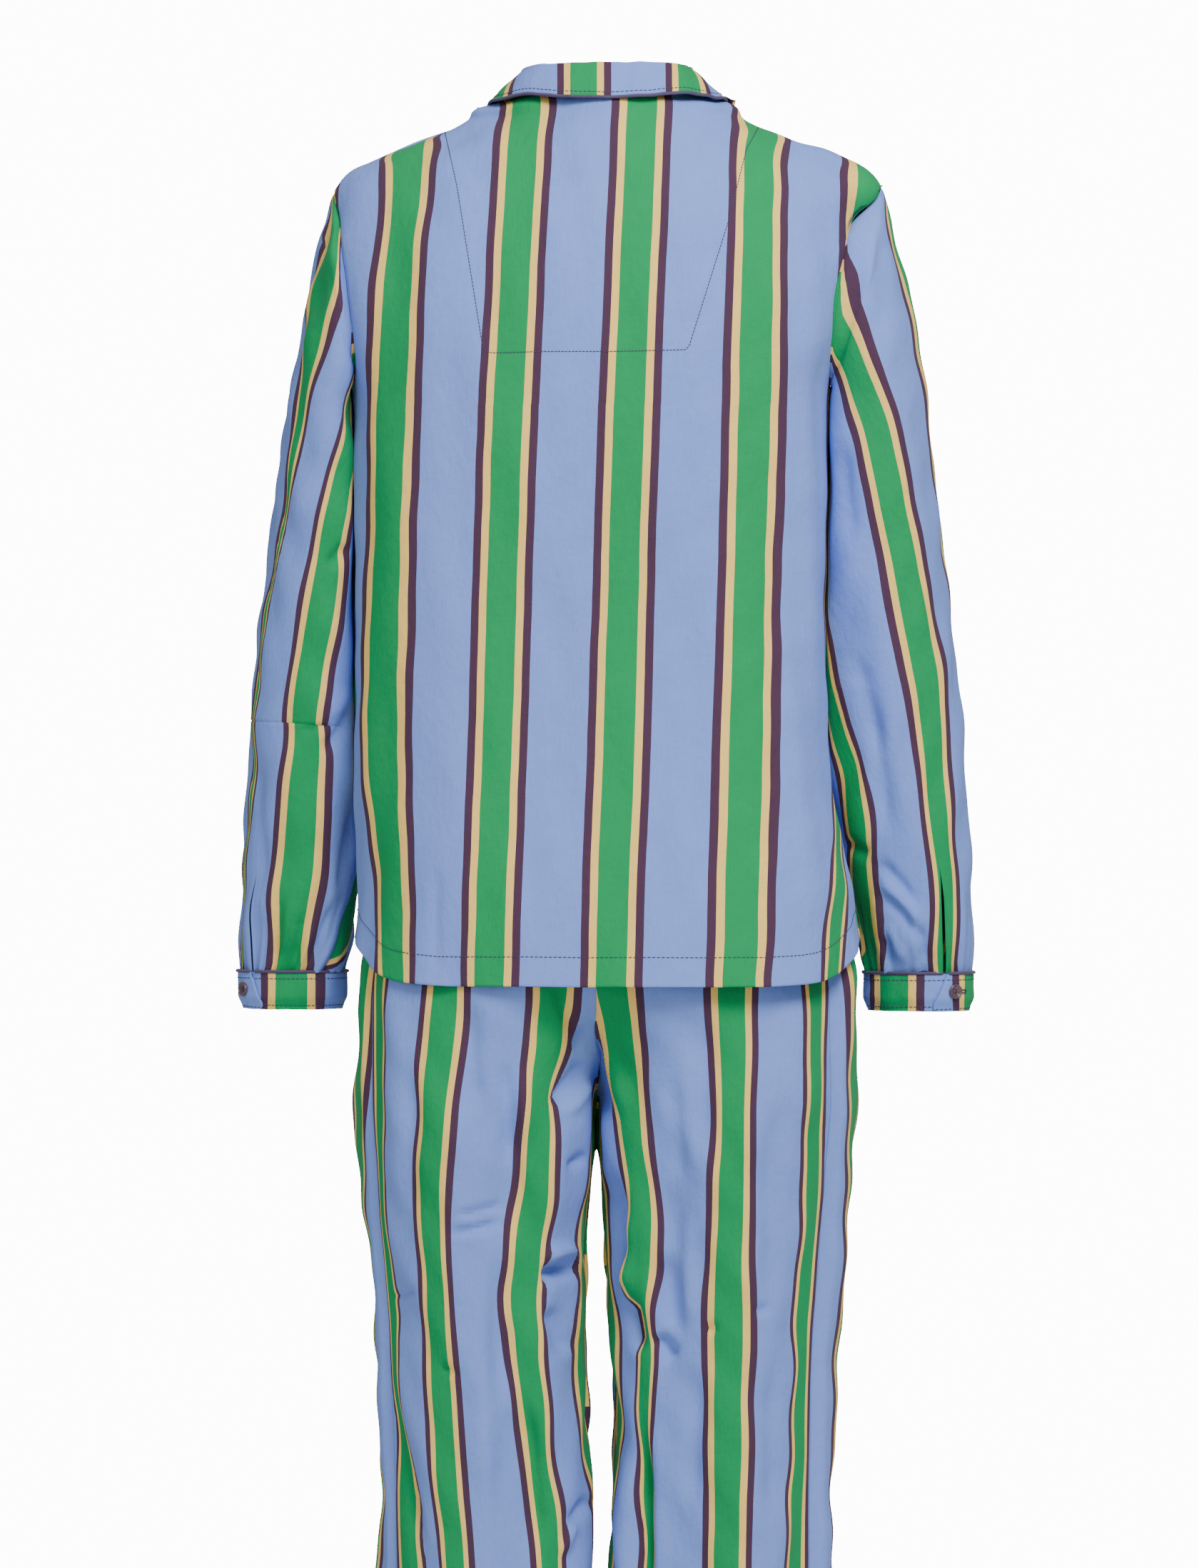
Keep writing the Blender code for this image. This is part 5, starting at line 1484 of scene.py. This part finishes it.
# --- Collar -----------------------------------------------------------
COLLAR_COLUMNS = 240
STAND_ROWS, FOLD_ROWS, FALL_ROWS = 13, 11, 19
COLLAR_SWELL, COLLAR_SWELL_SOFT = 0.0010, 60  # of its fall, growing over 60 degrees from the middle
COLLAR_ENDS, COLLAR_UNDER = 0.006, 0.062  # how far its ends and its under layer are folded in
COLLAR_GAP = 0.0009  # between its two layers
COLLAR_PIPING_IN, COLLAR_STITCHES = 0.0004, 0.0028
COLLAR_STRIPE = 0.0176  # where its fold has the middle of a green stripe
COLLAR_NARROWER = 0.87  # its stripes, as a share of the others
COLLAR_FOOT = 0.0040  # how far the stand reaches down inside the neck seam


def collar_ring(at):
    """Fold and edge points of the collar for angles round the neck."""
    mirrored = at > 90
    key = np.where(mirrored, 180 - at, at)
    sign = np.where(mirrored, -1.0, 1.0)
    _, fold_x, fold_y, fold_z, edge_x, edge_y, edge_z = (
        column(COLLAR_RINGS, k, key) for k in range(7)
    )
    angle = body_angle(np.maximum(edge_x, 0.001), edge_z, False)
    on_body = body(angle, edge_z)[..., 1] + SHIRT_TURN * edge_x - COLLAR_LIFT
    free = ease((key - COLLAR_SETTLE) / COLLAR_SETTLE_SOFT)
    edge_y = (1 - free) * on_body + free * edge_y
    fold = stack(sign * fold_x, fold_y, fold_z)
    edge = stack(sign * edge_x, edge_y, edge_z)
    return turned(fold, SHIRT_TURN), turned(edge, SHIRT_TURN)


def collar():
    at = COLLAR_END + (180 - 2 * COLLAR_END) * spread(COLLAR_COLUMNS)
    fold, edge = collar_ring(at)
    radians = np.radians(at)
    angle, z = neckline(np.where(at > 90, np.pi - radians, radians))
    base = body(np.where(at > 90, np.pi - angle, angle), z)
    outward = unit((edge - fold) * (1.0, 1.0, 0.0))
    up = np.array([0.0, 0.0, 1.0])
    rows = [base + (fold - base) * share for share in np.linspace(0, 1, STAND_ROWS + 1)[:-1]]
    for degrees in np.linspace(180, 0, FOLD_ROWS):
        a = math.radians(degrees)
        rows.append(fold + FOLD_RADIUS * (math.cos(a) * outward + (math.sin(a) - 1) * up))
    start = rows[-1]
    sag = ease(np.abs(at - 90) / COLLAR_SWELL_SOFT)[:, None]
    for share in np.linspace(0, 1, FALL_ROWS + 1)[1:]:
        swell = COLLAR_SWELL * math.sin(math.pi * share)
        rows.append(start + (edge - start) * share + outward * swell * sag)
    points = np.array(rows)
    normal = -grid_normals(points)
    points = points + normal * ripples(points, *UNEVEN["collar"])[..., None]
    across = row_lengths(points)
    across = (across - across[:, [int(np.argmin(np.abs(at - 90)))]]) / COLLAR_NARROWER
    x, _ = seen(points)
    behind, fold_row = at > 45, STAND_ROWS + FOLD_ROWS // 2
    across -= np.interp(-COLLAR_STRIPE, -x[fold_row][behind], across[fold_row][behind])
    along = np.repeat(mean_run(points)[:, None], len(at), axis=1)
    cloth = (points, normal, across, along)
    for end in ("first", "last"):
        cloth = fold_in(cloth, end, COLLAR_ENDS)
    cloth = fold_in(cloth, "top", COLLAR_UNDER, COLLAR_GAP)
    foot = cloth[0][0]
    inward = unit((foot.mean(axis=0) - foot) * (1.0, 1.0, 0.0))
    cloth = tuck(cloth, "bottom", COLLAR_FOOT, unit(inward * TUCK_SLANT - up))
    made = add_cloth("collar_cloth", cloth, ["collar"], STRIPES)

    normal = -grid_normals(points)
    down = unit(points[-1] - points[-2])
    path = points[-1] + down * PIPING_RADIUS - normal[-1] * COLLAR_PIPING_IN
    add_cord("collar_piping_cord", path, PIPING_RADIUS, ["collar_piping"], PIPING)
    add_stitches("collar_stitches", *offset_line(points, normal, "top", COLLAR_STITCHES))


# --- Trousers ---------------------------------------------------------
LEFT_LEG_CREASES = (
    # x1,      z1,   x2,     z2, half,   up, bow
    (160,   -7110,  430,  -7480,   45,  -75,  20),
    (150,   -7250,  330,  -7560,   35,   45,  20),
    (130,   -6900,  260,  -7060,   30,  -36,   0),
    (150,   -7840,  310,  -7950,   35,  -54,   0),
    (740,   -8220, 1180,  -8310,   30,  -45,  10),
    (750,   -8350, 1220,  -8440,   34,  -51,  10),
    (800,   -7080,  740,  -8000,   80,  -60,  40),
    (640,   -7150,  560,  -8200,   70,   54, -30),
    (170,   -8700,  500,  -8800,   60, -128, -20),
    (200,   -8560,  440,  -8640,   50,   60, -20),
    (420,   -8980,  290,  -9400,   80,  -75,  20),
    (290,  -10680,  120, -10430,   45,  -60,  10),
    (330,  -10900,  220, -10560,   40,   45,   0),
    (850,   -8560,  800,  -9800,   90,  -66,  20),
    (1000,  -9000,  900, -10900,   90,   54,   0),
    (650,   -9600,  500, -10900,   80,  -60,  20),
    (1660,  -9400, 1400, -10850,   50,  -90, -20),
    (1720,  -8400, 1560,  -9300,   50,  -45,   0),
    (1060,  -6600,  980,  -7600,   80,  -45,   0),
    (1500,  -7000, 1520,  -8600,   70,  -45,   0),
    (400,   -6500,  240,  -7000,   50,  -45,   0),
    (1440,  -8880, 1700,  -8930,   30,  -33,   0),
    (1300,  -9440, 1080,  -9530,   30,  -33,   0),
)
RIGHT_LEG_CREASES = (
    # x1,       z1,    x2,     z2, half,   up, bow
    (-10,    -7900,  -150,  -8800,   80, -105,   0),
    (-160,   -8200,  -150,  -9000,   50,   60,   0),
    (120,    -6760,  -170,  -7600,   60,   54,  30),
    (100,    -6900,   -20,  -7600,   50,  -66,   0),
    (-160,   -8900,  -250,  -9370,   60, -105,   0),
    (-360,   -9200,  -520,  -9420,   60,  -90,  20),
    (-440,   -8560,  -560,  -9260,   80,  -66, -20),
    (-600,   -8200,  -640,  -9300,   70,   54,   0),
    (-270,   -9700,  -278, -12000,   60, -135,   0),
    (-130,  -10000,  -140, -11800,   70,   54,   0),
    (-480,   -7200,  -560,  -8100,   70,  -45,  20),
    (-740,   -6700,  -720,  -7900,   80,  -48,   0),
    (-690,   -9400,  -620, -10600,   80,  -54,   0),
    (-1260,  -7400, -1240,  -9200,   90,  -51,   0),
    (-1290,  -9300, -1240, -10700,   80,  -54,   0),
    (-1100,  -9050, -1240,  -8990,   30,  -36,   0),
    (-730,   -9140,  -860,  -9180,   30,  -36,   0),
    (-1560,  -8500, -1600, -10900,   60,  -60,   0),
)
LEGS_PART, LEGS_PART_SOFT = -0.795, 0.02  # below this height there is a gap between the legs
SIDE_TROUGH = 0.011  # how far the cloth sinks in along the side seams
SIDE_TROUGH_REACH = {"back": 0.038, "front": 0.024}
SIDE_FADE = 0.030  # over which the small folds fade out towards the side seams
FRONT_LINE = 0.09  # from the middle to the front panels' straight grain line
SIDE_MATCH, SIDE_MATCH_SOFT = 0.12, 0.06  # from the middle to where their stripes match the side's
SIDE_MATCH_LEVEL = -0.90
LEG_LOOKS = {
    "left": (LEFT_LEG_STRIPES, stripe_marks(
        (0, -STRIPE_HALF), (0, STRIPE_HALF), (1, -PLUM_MIDDLE), (1, PLUM_MIDDLE),
        (2, -PLUM_MIDDLE), (2, PLUM_MIDDLE), (3, -PLUM_MIDDLE),
    ), LEFT_LEG_CREASES),
    "right": (RIGHT_LEG_STRIPES, stripe_marks(
        (-1, PLUM_MIDDLE), (0, -PLUM_MIDDLE), (0, PLUM_MIDDLE), (1, -PLUM_MIDDLE),
        (1, PLUM_MIDDLE), (2, -STRIPE_HALF), (2, STRIPE_HALF),
    ), RIGHT_LEG_CREASES),
}


def hips(angle, z):
    c, s = np.cos(angle), np.sin(angle)
    left, right = column(HIPS, 1, z) - TROUSER_CENTRE, column(HIPS, 2, z) + TROUSER_CENTRE
    square = column(HIPS, 5, z)
    x = TROUSER_CENTRE + np.where(c > 0, left, right) * power(c, 2 / square)
    y = np.where(s > 0, column(HIPS, 3, z), column(HIPS, 4, z)) * power(s, 2 / square)
    return stack(x, y, z)


def leg(turn, z, sign):
    """The outside of a leg: turn 0 is its outer side, 90 degrees the back."""
    first = 1 if sign > 0 else 3
    outer, inner = column(LEGS, first, z), column(LEGS, first + 1, z)
    c, s = np.cos(turn), np.sin(turn)
    depth = np.where(s > 0, column(LEGS, 5, z), column(LEGS, 6, z))
    relief = 0.0
    for which, at, top, bottom, half, height, lean in LEG_FOLDS:
        if which == sign:
            off = (np.degrees(turn) - at - lean * (top - z)) / half
            relief = relief + height * bump(off) * between(z, bottom, top, LEG_FOLD_SOFT)
    x = (outer + inner) / 2 + (outer - inner) / 2 * power(c, 2 / LEG_SQUARE)
    y = depth * power(s, 2 / LEG_SQUARE) + relief * power(s, 1)
    return stack(x, y, z)


def trouser_surface(sign, hip_seam, leg_seam):
    """A function of (q, z): q is 0 at the side seam, 1 at the back middle, -1 at the front."""
    def surface(q, z):
        behind = np.sign(q)
        hip = np.radians(hip_seam + q * (90 - behind * hip_seam))
        turn = np.radians(leg_seam + q * (180 - behind * leg_seam))
        around = hip if sign > 0 else np.pi - hip
        share = ease((SEAT_TOP - z) / (SEAT_TOP - CROTCH))[..., None]
        points = (1 - share) * hips(around, z) + share * leg(turn, z, sign)
        return turned(points, TROUSER_TURN)

    return surface


def trouser_panel(name, half, sign, surface, columns, table, marks, folds):
    top = WAIST_TOP - WAIST_HEIGHT - SEAM_GAP / 2
    q, z = np.meshgrid(columns, LEG_HEM + (top - LEG_HEM) * spread(LEG_ROWS))
    points = surface(q, z)
    if sign < 0:
        points = points[:, ::-1]
    centre, side = ("last", "first") if (half == "back") == (sign > 0) else ("first", "last")
    away = np.zeros(points.shape)
    away[..., 1] = 1.0
    points = valley(points, away, (side,), SIDE_TROUGH, SIDE_TROUGH_REACH[half])
    if half == "back":
        across = grain(points, stripe_lines(table, marks))
    else:
        across = grain(points, [upright(sign * FRONT_LINE, -1.52, -0.40)], front=True)
        seam = -1 if sign > 0 else 0
        wanted = column(SIDE_SEAM_STRIPES, 1 if sign > 0 else 2, points[:, 0, 2])
        middle = int(np.argmin(np.abs(points[:, 0, 2] - SIDE_MATCH_LEVEL)))
        across += wanted[middle] - across[middle, seam]
        near_seam = ease((sign * points[..., 0] - SIDE_MATCH) / SIDE_MATCH_SOFT)
        across += (wanted - across[:, seam])[:, None] * near_seam
    normal = grid_normals(points)
    relief = creases(points, normal, folds) + ripples(points, *UNEVEN[f"trouser_{half}"])
    from_seam = row_lengths(points)
    if side == "last":
        from_seam = from_seam[:, -1:] - from_seam
    relief *= ease(from_seam / SIDE_FADE)
    points = points + normal * relief[..., None]
    points = valley(points, normal, (side,))
    closed = ease((points[:, 0, 2] - LEGS_PART) / LEGS_PART_SOFT)[:, None]
    across_middle = np.array([-0.35 * sign, -1.0 if half == "back" else 1.0, 0.0])
    way = unit(closed * across_middle + (1 - closed) * (sign, 0.0, 0.0))
    cloth = tuck(tuck(sheet(points, across), side), centre, SEAM_TUCK, way)
    cloth = fold_in(cloth, "bottom", LEG_HEM_DEPTH)
    node = f"trouser_{name}_{half}"
    made = add_cloth(node + "_cloth", cloth, [node, node + "_leg"], STRIPES)
    line = offset_line(points, grid_normals(points), "bottom", LEG_HEM_STITCHES)
    add_stitches(f"{node}_hem_stitches", *line)


def trousers():
    for name, hip_seam, leg_seam in TROUSER_SIDES:
        sign = 1.0 if name == "left" else -1.0
        surface = trouser_surface(sign, hip_seam, leg_seam)
        table, marks, folds = LEG_LOOKS[name]
        back, front = (spread(count) for count in LEG_COLUMNS)
        trouser_panel(name, "back", sign, surface, back, table, marks, folds)
        trouser_panel(name, "front", sign, surface, front - 1, table, marks, ())


def waistband():
    """A doubled band, gathered on its elastic."""
    turn = np.linspace(0, 2 * np.pi, WAIST_COLUMNS + 1)
    turn, z = np.meshgrid(turn, WAIST_TOP - WAIST_HEIGHT * (1 - spread(WAIST_ROWS)))
    points = turned(hips(turn, z), TROUSER_TURN)
    normal = grid_normals(points)
    level = (z - WAIST_TOP + WAIST_HEIGHT) / WAIST_HEIGHT
    wave = np.cos(WAIST_GATHERS * turn + 2 * np.sin(3 * turn))
    wave = wave * np.sin(np.pi * np.clip(level, 0.05, 0.95))
    points = points + normal * (WAIST_GATHER_HEIGHT * wave - WAIST_GATHER_SINK)[..., None]
    points[:, -1] = points[:, 0]
    across = np.repeat(row_lengths(points)[:1], len(points), axis=0)
    cloth = fold_in(sheet(points, across), "top", WAIST_INNER, WAIST_GAP)
    made = add_cloth("waistband_cloth", cloth, ["waistband"], STRIPES, weld=WELD)


# --- The shirt and its stitching --------------------------------------
def shirt():
    back_panel()
    front_panel("front_right", -1.0, PLACKET_HALF, 0.0)
    front_panel("front_left", 1.0, -PLACKET_HALF, PLACKET_STEP)
    for index in range(FRONT_BUTTONS):
        z = np.array(FRONT_BUTTON_TOP - FRONT_BUTTON_STEP * index)
        angle = body_angle(np.array(0.0), z, False)
        step = 1e-4
        along = body(angle + step, z) - body(angle - step, z)
        rise = body(angle, z + step) - body(angle, z - step)
        add_button(f"front_button_{index + 1}", body(angle, z), unit(np.cross(along, rise)))
    collar()
    for name, sign, slit, edge_top, edge_low, button, reach, tuck_in in SLEEVE_SIDES:
        sleeve(name, sign, slit, reach, tuck_in, *SLEEVE_LOOKS[name])
        cuff(name, sign, edge_top, edge_low, button, reach)


def stage():
    floor = bpy.data.meshes.new("floor")
    edit = bmesh.new()
    bmesh.ops.create_circle(edit, cap_ends=True, radius=FLOOR_RADIUS, segments=96)
    edit.to_mesh(floor)
    edit.free()
    floor.materials.append(paper())
    made = bpy.data.objects.new("floor", floor)
    made.location = (0.0, 0.0, FLOOR)
    bpy.context.scene.collection.objects.link(made)


def aimed(data, name, place, target):
    made = bpy.data.objects.new(name, data)
    made.location = place
    direction = Vector(target) - Vector(place)
    made.rotation_euler = direction.to_track_quat("-Z", "Y").to_euler()
    bpy.context.scene.collection.objects.link(made)
    return made


def lights():
    for name, place, target, size, watts in LAMPS:
        lamp = bpy.data.lights.new(name, "AREA")
        lamp.shape, lamp.size, lamp.energy = "DISK", size, watts
        aimed(lamp, name, place, target)
    world = bpy.data.worlds.new("studio")
    bpy.context.scene.world = world
    world.use_nodes = True
    nodes, links = world.node_tree.nodes, world.node_tree.links
    soft = nodes["Background"]
    soft.inputs["Color"].default_value = (1.0, 1.0, 1.0, 1.0)
    soft.inputs["Strength"].default_value = WORLD_LIGHT
    backdrop = nodes.new("ShaderNodeBackground")
    backdrop.inputs["Strength"].default_value = BACKDROP_LIGHT
    ray, mix = nodes.new("ShaderNodeLightPath"), nodes.new("ShaderNodeMixShader")
    links.new(ray.outputs["Is Camera Ray"], mix.inputs[0])
    links.new(soft.outputs[0], mix.inputs[1])
    links.new(backdrop.outputs[0], mix.inputs[2])
    links.new(mix.outputs[0], nodes["World Output"].inputs["Surface"])


def camera():
    data = bpy.data.cameras.new("camera")
    data.lens = LENS
    data.sensor_width = 36.0
    made = aimed(data, "camera", (EYE_X, EYE_DISTANCE, EYE_Z), (EYE_X, 0.0, EYE_Z))
    bpy.context.scene.camera = made


camera()
shirt()
waistband()
trousers()
stage()
lights()
